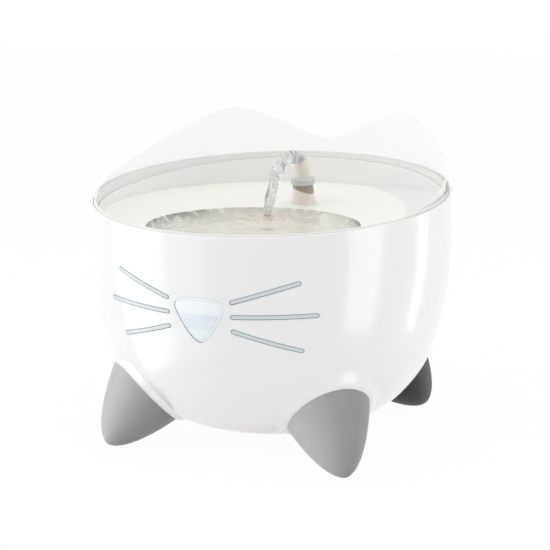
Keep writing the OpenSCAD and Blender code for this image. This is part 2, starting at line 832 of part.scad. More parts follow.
module filter_lid() {
    color("#eceef0") difference() {
        union() {
            translate([0, 0, pan_z + pan_h]) linear_extrude(lid_t) pan_area(0);
            translate([0, 0, pan_z + pan_h - 1.6]) linear_extrude(1.6) difference() {
                pan_area(pan_wall + 0.2);
                pan_area(pan_wall + 1.8);
            }
        }
        grille_slots(pan_z + pan_h - 1, lid_t + 2);
    }
}

// ---- Pump ----
module pump_case() {
    color("#3c4046") difference() {
        union() {
            pump_block(pump_w, pump_h, case_front, case_back, pump_z);
            intersection() {
                riser_axis(shaft_h) cylinder(r = boss_r, h = 60);
                translate([-far, -far, pump_z + pump_h - 0.5])
                    cube([2 * far, 2 * far, boss_top - pump_z - pump_h + 0.5]);
            }
        }
        on_shaft(chamber_r, chamber_y - chamber_len / 2, case_back + 1);
        on_shaft(well_r, chamber_y - chamber_len / 2 - well_len, case_back);
        on_shaft(bush_r, chamber_y - chamber_len / 2 - well_len - bush_len, case_back);
        difference() {
            on_shaft(coil_r + 0.2, case_front - 1, case_front + coil_len + 1.5);
            on_shaft(coil_in_r - 0.2, case_front - 2, case_front + coil_len + 3);
        }
        tongues(rest_gap);
        riser_axis(shaft_h) cylinder(r = riser_bore_r, h = 80);
        riser_axis(riser_foot) cylinder(r = riser_r + 0.05, h = 60);
    }
}

module motor_coil() {
    color("#b87333") difference() {
        on_shaft(coil_r, case_front + 0.5, case_front + coil_len);
        on_shaft(coil_in_r, case_front, case_front + coil_len + 1);
    }
}

module motor_cap() {
    color("#34373c") difference() {
        pump_block(pump_w, pump_h, case_front - cap_t, case_front, pump_z);
        on_shaft(lens_r, case_front - cap_t - 1, case_front - cap_t + 2.6);
    }
}

module led_board() {
    color("#1f6b45") on_shaft(lens_r - 0.3, case_front - cap_t + 1.6, case_front - cap_t + 2.6);
    color("#f6f2d0") for (a = [90, 210, 330]) translate([5.5 * cos(a), 0, 5.5 * sin(a)])
        on_shaft(1.5, case_front - cap_t + 0.6, case_front - cap_t + 1.6);
}

module led_lens() {
    color("#e4f1f6") difference() {
        intersection() {
            on_shaft(lens_r - 0.05, case_front - cap_t - 3, case_front - cap_t + 1.6);
            translate([pump_x, case_front - cap_t + 17, shaft_z]) sphere(r = 20);
        }
        on_shaft(lens_r - 2, case_front - cap_t + 0.3, case_front - cap_t + 2);
    }
}

module suction_cups() {
    color("#b9bcc0") for (sx = [-1, 1], y = [case_front + 6, case_back - 6])
        translate([pump_x + sx * (pump_w / 2 - cup_foot_r), y, seat_z])
            rotate_extrude() polygon([[0, 1.2], [cup_foot_r - 2, 0.4], [cup_foot_r, 0], [cup_foot_r, 0.8],
                                      [3.4, 3.2], [3.4, cup_h], [0, cup_h]]);
}

// Angles of the three windows that let water into the chamber
window_turns = [0, 120, 240];

// A fan-shaped window round the shaft, from y0 to y1
module fan_window(turn, y0, y1) {
    step = window_half / 3;
    translate([pump_x, y0, shaft_z]) rotate([-90, 0, 0]) rotate([0, 0, turn]) linear_extrude(y1 - y0)
        polygon(concat([for (a = [-window_half:step:window_half]) window_in_r * [cos(a), sin(a)]],
                       [for (a = [window_half:-step:-window_half]) window_out_r * [cos(a), sin(a)]]));
}

module impeller_cover() {
    color("#4a4f56") difference() {
        union() {
            on_shaft(cover_plate_r, case_back, case_back + cover_plate_t);
            on_shaft(dial_pin_r, case_back, dial_y + dial_t + 0.1 + dial_head_t);
            on_shaft(dial_head_r, dial_y + dial_t + 0.1, dial_y + dial_t + 0.1 + dial_head_t);
        }
        on_shaft(bush_r, case_back - 1, case_back + cover_plate_t - 0.6);
        for (turn = window_turns) fan_window(turn, case_back - 1, case_back + cover_plate_t + 1);
    }
}

module flow_dial() {
    color("#e08a3c") difference() {
        union() {
            on_shaft(dial_r, dial_y, dial_y + dial_t);
            translate([pump_x - 1.2, dial_y, shaft_z + dial_r - 2]) cube([2.4, dial_t + 0.6, 3.6]);
        }
        on_shaft(dial_pin_r + spin_gap, dial_y - 1, dial_y + dial_t + 1);
        for (turn = window_turns) fan_window(turn, dial_y - 1, dial_y + dial_t + 1);
    }
}

// The tongues that hold the intake cover on the case, grown by g
module tongues(g) {
    w = tongue_t + 2 * g;
    h = tongue_h + 2 * g;
    for (sx = [-1, 1]) translate([pump_x + sx * tongue_x - w / 2, cover_y - tongue_len - g, shaft_z - h / 2])
        cube([w, tongue_len + tongue_root, h]);
}

module intake_cover() {
    h = pump_h - 2 * cover_lift;
    color("#3c4046") {
        difference() {
            pump_block(pump_w - 2, h, cover_y, cover_y + cover_len, pump_z + cover_lift);
            translate([pump_x - pump_w / 2 + 1 + cover_wall, cover_y - 1, pump_z + cover_lift + cover_wall])
                cube([pump_w - 2 - 2 * cover_wall, cover_len - cover_wall + 1, h - 2 * cover_wall]);
            for (k = [-3:3]) translate([pump_x + k * cover_slot_pitch, cover_y + 2 + cover_len / 2, shaft_z])
                cube([cover_slot_w, cover_len, pump_h - 2 * cover_slot_end], center = true);
        }
        tongues(0);
        for (sx = [-1, 1]) translate([pump_x + sx * (tongue_x + 1) - 1.8, cover_y, shaft_z - tongue_h / 2])
            cube([3.6, tongue_root, tongue_h]);
    }
}

module intake_sponge() {
    t = 4.5;
    h = pump_h - 2 * cover_lift - 2 * cover_wall - 0.6;
    color("#2b2d30") translate([pump_x - pump_w / 2 + 1.3 + cover_wall, cover_y + cover_len - cover_wall - t,
                                pump_z + cover_lift + cover_wall + 0.3])
        cube([pump_w - 2.6 - 2 * cover_wall, t, h]);
}

module impeller_shaft() {
    color("#e9e6df") on_shaft(shaft_r, chamber_y - chamber_len / 2 - well_len - bush_len + 0.6,
                              case_back + cover_plate_t - 0.8);
}

module bush(y0, y1) {
    color("#1f2022") difference() {
        on_shaft(bush_r - 0.02, y0, y1);
        on_shaft(shaft_r + 0.01, y0 - 1, y1 + 1);
    }
}

module magnet_rotor() {
    y1 = chamber_y - chamber_len / 2 - 0.8;
    color("#2a2a2c") difference() {
        on_shaft(magnet_r, y1 - 22, y1);
        on_shaft(shaft_r + spin_gap, y1 - 23, y1 + 1);
    }
}

module impeller() {
    y0 = chamber_y - chamber_len / 2 - 0.8;
    color("#e7e8ea") difference() {
        union() {
            on_shaft(4, y0, y0 + chamber_len - 0.6);
            on_shaft(impeller_r, y0 + 1.2, y0 + 2.2);
            for (i = [0:blade_count - 1])
                translate([pump_x, 0, shaft_z]) rotate([0, i * 360 / blade_count, 0])
                    translate([-0.7, y0 + 2.2, 3]) cube([1.4, chamber_len - 3.4, impeller_r - 3.4]);
        }
        on_shaft(shaft_r + spin_gap, y0 - 1, y0 + chamber_len + 1);
    }
}

// ---- Inlet and lead ----
module on_inlet(r, y0, y1) {
    translate([0, y0, inlet_z]) rotate([-90, 0, 0]) cylinder(r = r, h = y1 - y0);
}

module power_inlet() {
    color("#222426") {
        difference() {
            union() {
                on_inlet(inlet_flange_r, inlet_face - flange_t, inlet_face);
                on_inlet(inlet_r, barrel_in, inlet_face - flange_t);
            }
            on_inlet(jack_r, inlet_face - jack_depth, inlet_face + 1);
        }
        on_inlet(0.8, inlet_face - jack_depth, inlet_face - 1.5);
    }
}

module inlet_gasket() {
    color("#6a6c70") difference() {
        on_inlet(inlet_flange_r, inlet_face - flange_t - gasket_t, inlet_face - flange_t);
        on_inlet(inlet_r, inlet_face - flange_t - gasket_t - 1, inlet_face);
    }
}

module inlet_nut() {
    y1 = inlet_face - inlet_boss_len;
    color("#3a3c40") difference() {
        translate([0, y1 - nut_t, inlet_z]) rotate([-90, 0, 0])
            cylinder(r = inlet_r + 3.4, h = nut_t, $fn = 6);
        on_inlet(inlet_r, y1 - nut_t - 1, y1 + 1);
    }
}

// Smooth curve through the lead's points, with the tangents of a Catmull-Rom spline
function route_point(p, i, t) =
    let (a = p[max(i - 1, 0)], b = p[i], c = p[i + 1], d = p[min(i + 2, len(p) - 1)])
    0.5 * (2 * b + (c - a) * t + (2 * a - 5 * b + 4 * c - d) * t ^ 2 + (3 * b - a - 3 * c + d) * t ^ 3);
route_steps = 5;
route_last = len(lead_route) - 1;
route_inner = [for (i = [0:route_last - 1], k = [0:route_steps - 1]) route_point(lead_route, i, k / route_steps)];
lead_path = concat(route_inner, [lead_route[route_last]]);

function unit(v) = v / norm(v);

// A round tube along a path, closed at both ends
module sweep(path, r, sides) {
    n = len(path);
    ring = [for (i = [0:n - 1]) let (t = unit(path[min(i + 1, n - 1)] - path[max(i - 1, 0)]),
                u = unit(cross(t, abs(t[2]) < 0.8 ? [0, 0, 1] : [1, 0, 0])), v = cross(t, u))
            for (k = [0:sides - 1]) path[i] + r * (cos(360 * k / sides) * u + sin(360 * k / sides) * v)];
    polyhedron(ring, concat(
        [for (i = [0:n - 2], k = [0:sides - 1]) let (m = (k + 1) % sides)
            each [[i * sides + k, (i + 1) * sides + m, i * sides + m],
                  [i * sides + k, (i + 1) * sides + k, (i + 1) * sides + m]]],
        [[for (k = [0:sides - 1]) k]],
        [[for (k = [sides - 1:-1:0]) (n - 1) * sides + k]]));
}

module pump_lead() {
    color("#dcdcdc") sweep(lead_path, lead_r, 8);
}

tank();
pump_stand();
splash_guard();
drinking_tray();
spout_base();
spout_collar();
spout_tube();
stub_seal();
riser_tube();
nose_window();
mirror([1, 0, 0]) whisker_windows();  // whisker_window_left
whisker_windows();  // whisker_window_right
leg(360 - front_leg_angle);  // leg_front_left
leg(front_leg_angle);  // leg_front_right
leg(180 + rear_leg_angle);  // leg_rear_left
leg(180 - rear_leg_angle);  // leg_rear_right
leg_screws();
leg_tips();
filter_pan();
carbon_layer();
filter_pad();
filter_lid();
pump_case();
motor_coil();
motor_cap();
led_board();
led_lens();
suction_cups();
impeller_cover();
flow_dial();
intake_cover();
intake_sponge();
impeller_shaft();
bush(case_back, case_back + cover_plate_t - 0.6);  // shaft_bush_front
bush(chamber_y - chamber_len / 2 - well_len - bush_len, chamber_y - chamber_len / 2 - well_len);  // shaft_bush_rear
magnet_rotor();
impeller();
power_inlet();
inlet_gasket();
inlet_nut();
pump_lead();
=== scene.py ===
"""Looks of a pet water fountain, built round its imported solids.

A white bowl with a cat face stands on four cone legs. It carries an eared splash guard, a drinking
tray with a pool, and a clear spout that throws an arc of water into the pool. Lengths in the classes
are millimetres, in the solids' own frame, and turn into metres when a piece is finished.
"""

import logging
import math
from dataclasses import dataclass, field, replace
from enum import Enum
from typing import Any, Iterable, Optional, Sequence, Union

import bmesh
import bpy
from mathutils import Matrix, Vector, noise


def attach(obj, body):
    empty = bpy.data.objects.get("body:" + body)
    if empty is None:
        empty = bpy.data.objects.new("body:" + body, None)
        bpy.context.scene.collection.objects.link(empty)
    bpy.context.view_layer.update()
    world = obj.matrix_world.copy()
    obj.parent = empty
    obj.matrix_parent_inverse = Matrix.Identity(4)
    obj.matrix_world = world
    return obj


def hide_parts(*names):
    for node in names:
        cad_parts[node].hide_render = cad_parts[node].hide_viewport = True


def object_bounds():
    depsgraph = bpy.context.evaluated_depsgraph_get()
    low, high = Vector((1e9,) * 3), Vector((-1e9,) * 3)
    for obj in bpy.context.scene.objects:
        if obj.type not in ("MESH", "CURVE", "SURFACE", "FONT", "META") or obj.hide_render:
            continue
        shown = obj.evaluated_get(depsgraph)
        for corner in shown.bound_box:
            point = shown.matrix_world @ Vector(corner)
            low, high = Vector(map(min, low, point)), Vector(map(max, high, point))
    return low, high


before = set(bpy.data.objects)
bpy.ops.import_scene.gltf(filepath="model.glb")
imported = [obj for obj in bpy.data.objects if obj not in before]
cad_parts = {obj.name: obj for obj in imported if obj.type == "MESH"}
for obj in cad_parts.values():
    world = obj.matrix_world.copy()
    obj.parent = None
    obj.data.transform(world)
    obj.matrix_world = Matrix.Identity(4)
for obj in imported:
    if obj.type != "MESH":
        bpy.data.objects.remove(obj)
CAD_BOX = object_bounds()

MM = 0.001
LOG = logging.getLogger("fountain")

Colour = tuple[float, float, float]
Span = tuple[float, float]
Profile = list[tuple[float, float]]

UP = (0.0, 0.0, 1.0)
# Way that the legs' painted highlight faces.
PAINTED_SHEEN_WAY = (-0.93, -0.36, 0.3)
# Way that the rear legs' painted shade faces.
PAINTED_SHADE_WAY = (0.36, -0.93, 0.0)
FLAT = (1, 1, 0)
PLASTIC_IOR = 1.49
WATER_IOR = 1.333
TURN_STEPS = 256
FINE_STEPS = 360


class Body(str, Enum):
    """The bodies of the fountain that new pieces ride on."""

    BASE = "base"
    GUARD = "guard"
    TRAY = "tray"
    SPOUT = "spout"


def linear(red: int, green: int, blue: int) -> Colour:
    """Turns an sRGB colour of 0 to 255 into the linear values that a shader takes.

    Args:
        red: Red, 0 to 255.
        green: Green, 0 to 255.
        blue: Blue, 0 to 255.

    Returns:
        The linear red, green and blue, 0 to 1.
    """
    parts = [value / 255 for value in (red, green, blue)]
    red_l, green_l, blue_l = [p / 12.92 if p <= 0.04045 else ((p + 0.055) / 1.055) ** 2.4 for p in parts]
    return red_l, green_l, blue_l


# ---------------------------------------------------------------- shader nodes


class Wire:
    """One output of a shader node, which takes part in Python arithmetic."""

    def __init__(self, tree: "Tree", socket: bpy.types.NodeSocket) -> None:
        """Wraps a socket."""
        self.tree = tree
        self.socket = socket

    def _math(self, operation: str, first: Any, second: Any = None) -> "Wire":
        """Adds one Math node."""
        values = {0: first} if second is None else {0: first, 1: second}
        return self.tree.add("ShaderNodeMath", {"operation": operation}, values)

    def __add__(self, other: Any) -> "Wire":
        """Returns self + other."""
        return self._math("ADD", self, other)

    def __radd__(self, other: Any) -> "Wire":
        """Returns other + self."""
        return self._math("ADD", other, self)

    def __sub__(self, other: Any) -> "Wire":
        """Returns self - other."""
        return self._math("SUBTRACT", self, other)

    def __rsub__(self, other: Any) -> "Wire":
        """Returns other - self."""
        return self._math("SUBTRACT", other, self)

    def __mul__(self, other: Any) -> "Wire":
        """Returns self * other."""
        return self._math("MULTIPLY", self, other)

    def __rmul__(self, other: Any) -> "Wire":
        """Returns other * self."""
        return self._math("MULTIPLY", other, self)

    def sine(self) -> "Wire":
        """Returns the sine of self, in radians."""
        return self._math("SINE", self)

    def size(self) -> "Wire":
        """Returns self without its sign."""
        return self._math("ABSOLUTE", self)

    def larger(self, other: Any) -> "Wire":
        """Returns the larger of self and other."""
        return self._math("MAXIMUM", self, other)

    def step(self, low: float, high: float) -> "Wire":
        """Rises smoothly from 0 at low to 1 at high."""
        return self.tree.add("ShaderNodeMapRange", {"interpolation_type": "SMOOTHSTEP"},
                             {"Value": self, "From Min": low, "From Max": high})


class Tree:
    """A material's node tree, with one method that adds any node."""

    def __init__(self, name: str) -> None:
        """Starts a material with an empty Principled shader.

        Args:
            name: The material's name.
        """
        self.material = bpy.data.materials.new(name)
        self.material.use_nodes = True
        self.nodes = self.material.node_tree.nodes
        self.links = self.material.node_tree.links
        self.shader = next(node for node in self.nodes if node.type == "BSDF_PRINCIPLED")
        self.output = next(node for node in self.nodes if node.type == "OUTPUT_MATERIAL")
        self._place: Optional[Wire] = None

    def node(self, kind: str, settings: dict[str, Any], inputs: dict[Any, Any]) -> bpy.types.Node:
        """Adds a node, sets it up and fills or links its inputs.

        Args:
            kind: The node's type name.
            settings: Attributes of the node, set first.
            inputs: Values or wires, by the input's name or number.

        Returns:
            The node.
        """
        node = self.nodes.new(kind)
        for key, value in settings.items():
            setattr(node, key, value)
        for key, value in inputs.items():
            self.feed(node.inputs[key], value)
        return node

    def add(self, kind: str, settings: Optional[dict[str, Any]] = None,
            inputs: Optional[dict[Any, Any]] = None, output: Union[str, int] = 0) -> Wire:
        """Adds a node and returns one of its outputs."""
        return Wire(self, self.node(kind, settings or {}, inputs or {}).outputs[output])

    def feed(self, socket: bpy.types.NodeSocket, value: Any) -> None:
        """Links a wire to an input, or sets the input's value.

        Args:
            socket: The input.
            value: A wire, a number, or a colour or vector.
        """
        if isinstance(value, Wire):
            self.links.new(value.socket, socket)
        elif socket.type == "RGBA" and len(value) == 3:
            socket.default_value = (*value, 1.0)
        else:
            socket.default_value = value

    @property
    def place(self) -> Wire:
        """The point of the surface in object coordinates.

        Returns:
            The point, in metres.
        """
        if self._place is None:
            self._place = self.add("ShaderNodeTexCoord", output="Object")
        return self._place

    def axis(self, name: str) -> Wire:
        """Returns one coordinate of the surface's point."""
        return self.add("ShaderNodeSeparateXYZ", inputs={0: self.place}, output=name)

    def noise(self, scale: float, detail: float = 3.0, stretch: Sequence[float] = (1, 1, 1),
              distortion: float = 0.0) -> Wire:
        """Adds fractal noise over object coordinates.

        Args:
            scale: Features per metre.
            detail: Octaves.
            stretch: Scale along each axis.
            distortion: How far the noise swirls.

        Returns:
            The noise, about 0.5.
        """
        place = self.add("ShaderNodeMapping", inputs={"Vector": self.place, "Scale": tuple(stretch)})
        return self.add("ShaderNodeTexNoise", inputs={"Vector": place, "Scale": scale, "Detail": detail,
                                                      "Distortion": distortion})

    def cells(self, scale: float) -> Wire:
        """Returns the distance from the nearest cell's point, with a scale in cells per metre."""
        return self.add("ShaderNodeTexVoronoi", inputs={"Vector": self.place, "Scale": scale})

    def facing(self, way: Sequence[float]) -> Wire:
        """Returns how far the surface faces a direction, -1 to 1.

        Args:
            way: The direction.

        Returns:
            -1 when it faces away, 1 when it faces that way.
        """
        normal = self.add("ShaderNodeNewGeometry", output="Normal")
        return self.add("ShaderNodeVectorMath", {"operation": "DOT_PRODUCT"},
                        {0: normal, 1: tuple(way)}, "Value")

    def reach(self, point: Sequence[float], squash: Sequence[float] = (1, 1, 1)) -> Wire:
        """Returns the distance from a point, in metres.

        Args:
            point: The point, in object coordinates.
            squash: Share of each axis that counts.

        Returns:
            The distance.
        """
        apart = self.add("ShaderNodeVectorMath", {"operation": "SUBTRACT"}, {0: self.place, 1: tuple(point)})
        counted = self.add("ShaderNodeVectorMath", {"operation": "MULTIPLY"}, {0: apart, 1: tuple(squash)})
        return self.add("ShaderNodeVectorMath", {"operation": "LENGTH"}, {0: counted}, "Value")

    def mix(self, share: Any, first: Any, second: Any) -> Wire:
        """Mixes two colours.

        Args:
            share: 0 gives the first colour, 1 the second.
            first: A colour or a wire.
            second: A colour or a wire.

        Returns:
            The mixed colour.
        """
        node = self.node("ShaderNodeMix", {"data_type": "RGBA"}, {})
        for socket, value in ((node.inputs[0], share), (node.inputs[6], first), (node.inputs[7], second)):
            self.feed(socket, value)
        return Wire(self, node.outputs[2])

    def bump(self, height: Wire, depth: float) -> Wire:
        """Returns a bumped normal for a height of 0 to 1, whose 1 stands for a depth in metres."""
        return self.add("ShaderNodeBump", inputs={"Height": height, "Distance": depth})

    def set(self, **inputs: Any) -> None:
        """Feeds inputs of the Principled shader, with _ for each space in a name."""
        for key, value in inputs.items():
            self.feed(self.shader.inputs[key.replace("_", " ")], value)


# ---------------------------------------------------------------- finishes


@dataclass(frozen=True)
class Finish:
    """A plain finish with a little unevenness, and the base of the others."""

    name: str
    colour: Colour
    roughness: float = 0.4
    vary: float = 0.06
    scale: float = 60.0
    grain: float = 0.0
    grain_scale: float = 2500.0

    def material(self) -> bpy.types.Material:
        """Builds the finish's material once and returns it.

        Returns:
            The material.
        """
        name = "look_" + self.name
        found = bpy.data.materials.get(name)
        if found is not None:
            return found
        tree = Tree(name)
        self.paint(tree)
        return tree.material

    def paint(self, tree: Tree) -> None:
        """Fills the material's tree.

        Args:
            tree: The material's tree.
        """
        cloud = tree.noise(self.scale)
        darker = tuple(part * (1 - self.vary) for part in self.colour)
        tree.set(Base_Color=tree.mix(cloud.step(0.3, 0.7), darker, self.colour),
                 Roughness=self.roughness * (0.9 + 0.2 * cloud))
        if self.grain:
            tree.set(Normal=tree.bump(tree.noise(self.grain_scale, 2.0), self.grain))


@dataclass(frozen=True)
class Gloss(Finish):
    """Glossy moulded plastic with a clear coat and a faint moulding waviness."""

    coat: float = 0.5
    coat_roughness: float = 0.11
    wave_scale: float = 38.0
    wave_depth: float = 0.00012

    def paint(self, tree: Tree) -> None:
        """Adds the coat and the waviness to the plain finish.

        Args:
            tree: The material's tree.
        """
        super().paint(tree)
        tree.set(Coat_Weight=self.coat, Coat_Roughness=self.coat_roughness, IOR=PLASTIC_IOR,
                 Normal=tree.bump(tree.noise(self.wave_scale, 1.0), self.wave_depth))


@dataclass(frozen=True)
class ShadedHull(Gloss):
    """Glossy plastic with painted shade where it faces the floor, which makes its colour darker there."""

    # Colour of the painted shade on the underside.
    under: Colour = (0.7, 0.7, 0.7)
    turning: Span = (-0.97, -0.72)

    def paint(self, tree: Tree) -> None:
        """Adds the painted shade on the underside to the glossy finish."""
        super().paint(tree)
        tree.set(Base_Color=tree.mix(tree.facing(UP).step(*self.turning), self.under, self.colour))


@dataclass(frozen=True)
class ShadedDish(Gloss):
    """Glossy plastic with painted shade: its sloping and upright sides are greyer than its floor."""

    # The slope and side colours are painted shade on the walls.
    slope: Colour = (0.8, 0.8, 0.8)
    side: Colour = (0.7, 0.7, 0.7)
    leaning: Span = (0.3, 0.9)
    level: Span = (0.982, 0.993)

    def paint(self, tree: Tree) -> None:
        """Adds the painted shade, greyer sloping and upright sides, to the glossy finish.

        Args:
            tree: The material's tree.
        """
        super().paint(tree)
        up = tree.facing(UP)
        sides = tree.mix(up.step(*self.leaning), self.side, self.slope)
        tree.set(Base_Color=tree.mix(up.step(*self.level), sides, self.colour))


@dataclass(frozen=True)
class Clear(Finish):
    """Clear or milky plastic that light passes through."""

    clearness: float = 0.9
    ior: float = PLASTIC_IOR
    alpha: float = 1.0

    def paint(self, tree: Tree) -> None:
        """Adds the clearness to the plain finish."""
        super().paint(tree)
        tree.set(Transmission_Weight=self.clearness, IOR=self.ior, Alpha=self.alpha)


@dataclass(frozen=True)
class PaintedGlowVeil(Clear):
    """Milky clear plastic that is solid below the rim plane and denser at its edge, with a painted glow above
    the rim plane.
    """

    foot: Colour = (0.65, 0.65, 0.65)
    # Strength of the painted glow above the rim plane.
    glow: float = 0.36
    rim_z: float = 0.1605
    tilt: float = 5.0
    border: Span = (0.0012, 0.0036)
    top: Span = (0.5, 0.9)
    top_alpha: float = 0.35
    side_alpha: float = 0.3

    def paint(self, tree: Tree) -> None:
        """Makes the part below the rim solid, and gives the part above it a painted glow, an emission that
        brightens it though it is no lamp.

        Args:
            tree: The material's tree.
        """
        super().paint(tree)
        tilt = math.radians(self.tilt)
        height = (tree.axis("Z") - self.rim_z) * math.cos(tilt) - tree.axis("Y") * math.sin(tilt)
        upper = height.step(*self.border)
        grazing = tree.add("ShaderNodeLayerWeight", inputs={"Blend": 0.5}, output="Facing")
        top = tree.facing(UP).step(*self.top) * self.top_alpha
        edge = top + grazing * grazing * grazing * self.side_alpha
        # The emission here is painted glow, not a lamp.
        tree.set(Alpha=1.0 - (1.0 - self.alpha - edge) * upper,
                 Base_Color=tree.mix(upper, self.foot, self.colour),
                 Emission_Color=tree.mix(upper, (0.0, 0.0, 0.0), (self.glow, self.glow, self.glow)),
                 Emission_Strength=1.0)


@dataclass(frozen=True)
class Metal(Finish):
    """Bare metal with fine marks."""

    mark_scale: float = 1800.0
    mark_stretch: tuple[float, float, float] = (1, 1, 6)
    mark_depth: float = 0.00003

    def paint(self, tree: Tree) -> None:
        """Makes the plain finish metallic, with fine marks.

        Args:
            tree: The material's tree.
        """
        super().paint(tree)
        marks = tree.noise(self.mark_scale, 2.0, self.mark_stretch)
        tree.set(Metallic=1.0, Normal=tree.bump(marks, self.mark_depth))


@dataclass(frozen=True)
class Grains(Finish):
    """A bed of loose grains or an open foam, seen as cells."""

    dark: Colour = (0.0, 0.0, 0.0)
    cell_scale: float = 600.0
    depth: float = 0.0008
    gaps: Span = (0.15, 0.75)

    def paint(self, tree: Tree) -> None:
        """Fills the tree with a cell pattern in colour and height.

        Args:
            tree: The material's tree.
        """
        cell = tree.cells(self.cell_scale)
        tree.set(Base_Color=tree.mix(cell.step(*self.gaps), self.colour, self.dark), Roughness=self.roughness,
                 Normal=tree.bump(1.0 - cell, self.depth))


@dataclass(frozen=True)
class Felt(Finish):
    """White needled felt with short fibres."""

    fibre_scale: float = 900.0
    fibre_stretch: float = 5
    thin: Span = (0.35, 0.6)
    shade: float = 0.82
    depth: float = 0.0009

    def paint(self, tree: Tree) -> None:
        """Fills the tree with fibres laid both ways.

        Args:
            tree: The material's tree.
        """
        across = tree.noise(self.fibre_scale, 4.0, (1, self.fibre_stretch, 1))
        along = tree.noise(self.fibre_scale, 4.0, (self.fibre_stretch, 1, 1))
        fibres = across * 0.5 + along * 0.5
        darker = tuple(part * self.shade for part in self.colour)
        tree.set(Base_Color=tree.mix(fibres.step(*self.thin), darker, self.colour),
                 Roughness=self.roughness, Normal=tree.bump(fibres, self.depth), Sheen_Weight=0.3)


@dataclass(frozen=True)
class Winding(Finish):
    """Fine enamelled wire wound round the motor."""

    pitch: float = 0.0007
    groove: float = 0.45
    depth: float = 0.0002

    def paint(self, tree: Tree) -> None:
        """Fills the tree with turns of wire across the shaft's direction.

        Args:
            tree: The material's tree.
        """
        turns = (tree.axis("Y") * (2 * math.pi / self.pitch)).sine() * 0.5 + 0.5
        darker = tuple(part * self.groove for part in self.colour)
        tree.set(Base_Color=tree.mix(turns, darker, self.colour), Metallic=0.9, Roughness=self.roughness,
                 Normal=tree.bump(turns, self.depth))


@dataclass(frozen=True)
class Window(Finish):
    """Pale window plastic with a painted sheen on its upper zone and a fine double outline, by the piece's
    "near" and "shade" attributes, whose darker lower left side is painted shade.
    """

    edge: Colour = (0.3, 0.4, 0.4)
    gap: Colour = (0.8, 0.9, 0.9)
    low: Colour = (0.7, 0.8, 0.8)
    tip: Colour = (0.8, 0.9, 0.9)
    border_z: float = 0.1038
    outline: float = 0.7
    second: float = 1.6
    tip_low: float = 0.013
    tip_high: float = 0.007
    soft: float = 0.0003
    streak_scale: float = 260.0
    streak_stretch: tuple[float, float, float] = (0.12, 0.12, 1.6)
    streak_share: float = 0.35
    second_share: float = 0.2

    def paint(self, tree: Tree) -> None:
        """Fills the tree with the face's zones and its outlines.

        Args:
            tree: The material's tree.
        """
        near = tree.add("ShaderNodeAttribute", {"attribute_name": "near"}, output="Fac")
        shade = tree.add("ShaderNodeAttribute", {"attribute_name": "shade"}, output="Fac")
        # The lighter upper zone is a painted sheen.
        height = tree.axis("Z")
        rising = height.step(self.border_z - self.tip_low, self.border_z - self.tip_high)
        lower = tree.mix(rising, self.tip, self.low)
        upper = height.step(self.border_z - self.soft, self.border_z + self.soft)
        face = tree.mix(upper, lower, self.colour)
        streaks = tree.noise(self.streak_scale, 2.0, self.streak_stretch).step(0.45, 0.62)
        face = tree.mix(streaks * self.streak_share, face, self.gap)
        past = near.step(self.second + 0.1, self.second + 0.4)
        inner = near.step(self.second - 0.25, self.second) * (1.0 - past)
        ring = tree.mix(near.step(self.second - 0.3, self.second), self.gap, face)
        ring = tree.mix(inner * self.second_share, ring, self.edge)
        # The outline's darkness follows the painted shade in the "shade" attribute.
        line = (1.0 - near.step(self.outline * 0.7, self.outline * 1.5)) * shade
        tree.set(Base_Color=tree.mix(line, ring, self.edge), Roughness=self.roughness,
                 Coat_Weight=0.5, Coat_Roughness=0.05, IOR=PLASTIC_IOR)


@dataclass(frozen=True)
class ShadowedSleeve(Clear):
    """Clear plastic whose upper part is dark with a painted shadow of the collar, with a slanted border."""

    # Colour of the painted shadow under the collar.
    dark: Colour = (0.4, 0.35, 0.3)
    border_z: float = 0.1552
    slant: float = 0.31
    soft: float = 0.0004
    dark_alpha: float = 0.92

    def paint(self, tree: Tree) -> None:
        """Adds the painted shadow on the upper part.

        Args:
            tree: The material's tree.
        """
        super().paint(tree)
        height = tree.axis("Z") + tree.axis("X") * self.slant
        upper = height.step(self.border_z - self.soft, self.border_z + self.soft)
        tree.set(Base_Color=tree.mix(upper, self.colour, self.dark),
                 Alpha=self.alpha + (self.dark_alpha - self.alpha) * upper)


@dataclass(frozen=True)
class ShadedCone(Finish):
    """Matte plastic with a painted highlight on its left-hand side, and painted shade inside where near_x and
    far_x are set.
    """

    # Colour of the painted shade on the side turned from the painted highlight.
    dark: Colour = (0.2, 0.2, 0.2)
    # Colour of the painted shade on the inner part that faces the front.
    inner: Colour = (0.1, 0.1, 0.1)
    near_x: float = 0.0
    far_x: float = 0.0
    rear: "ShadedCone | None" = None
    seam: Span = (-0.01, 0.01)
    specular: float = 0.35
    cloud: float = 0.06
    painted_sheen: Span = (-0.6, 0.9)
    shaded: Span = (-0.5, 0.1)

    def paint(self, tree: Tree) -> None:
        """Adds the painted highlight and the painted shade on the inner part to the plain finish.

        Args:
            tree: The material's tree.
        """
        super().paint(tree)
        colour = self.shade(tree)
        if self.rear:
            colour = tree.mix(tree.axis("Y").step(*self.seam), colour, self.rear.shade(tree))
        tree.set(Base_Color=colour, Specular_IOR_Level=self.specular)

    def shade(self, tree: Tree) -> Wire:
        """Returns the finish's colour, with its painted highlight and the painted shade on its inner part.

        Args:
            tree: The material's tree.

        Returns:
            The colour.
        """
        cloud = tree.noise(self.scale).step(0.2, 0.8) * self.cloud
        # Painted highlight: lighter where the surface faces the left-hand side, towards the dark colour
        # elsewhere.
        painted_sheen = tree.facing(PAINTED_SHEEN_WAY).step(*self.painted_sheen) * (1 - self.cloud)
        colour = tree.mix(painted_sheen + cloud, self.dark, self.colour)
        # Painted shade: darker on the inner part near the middle, where it faces the front.
        if self.far_x:
            outer = tree.reach((0, 0, 0), (1, 0, 0)).step(self.near_x, self.far_x)
            colour = tree.mix((1.0 - outer) * tree.facing(PAINTED_SHADE_WAY).step(*self.shaded), colour, self.inner)
        return colour


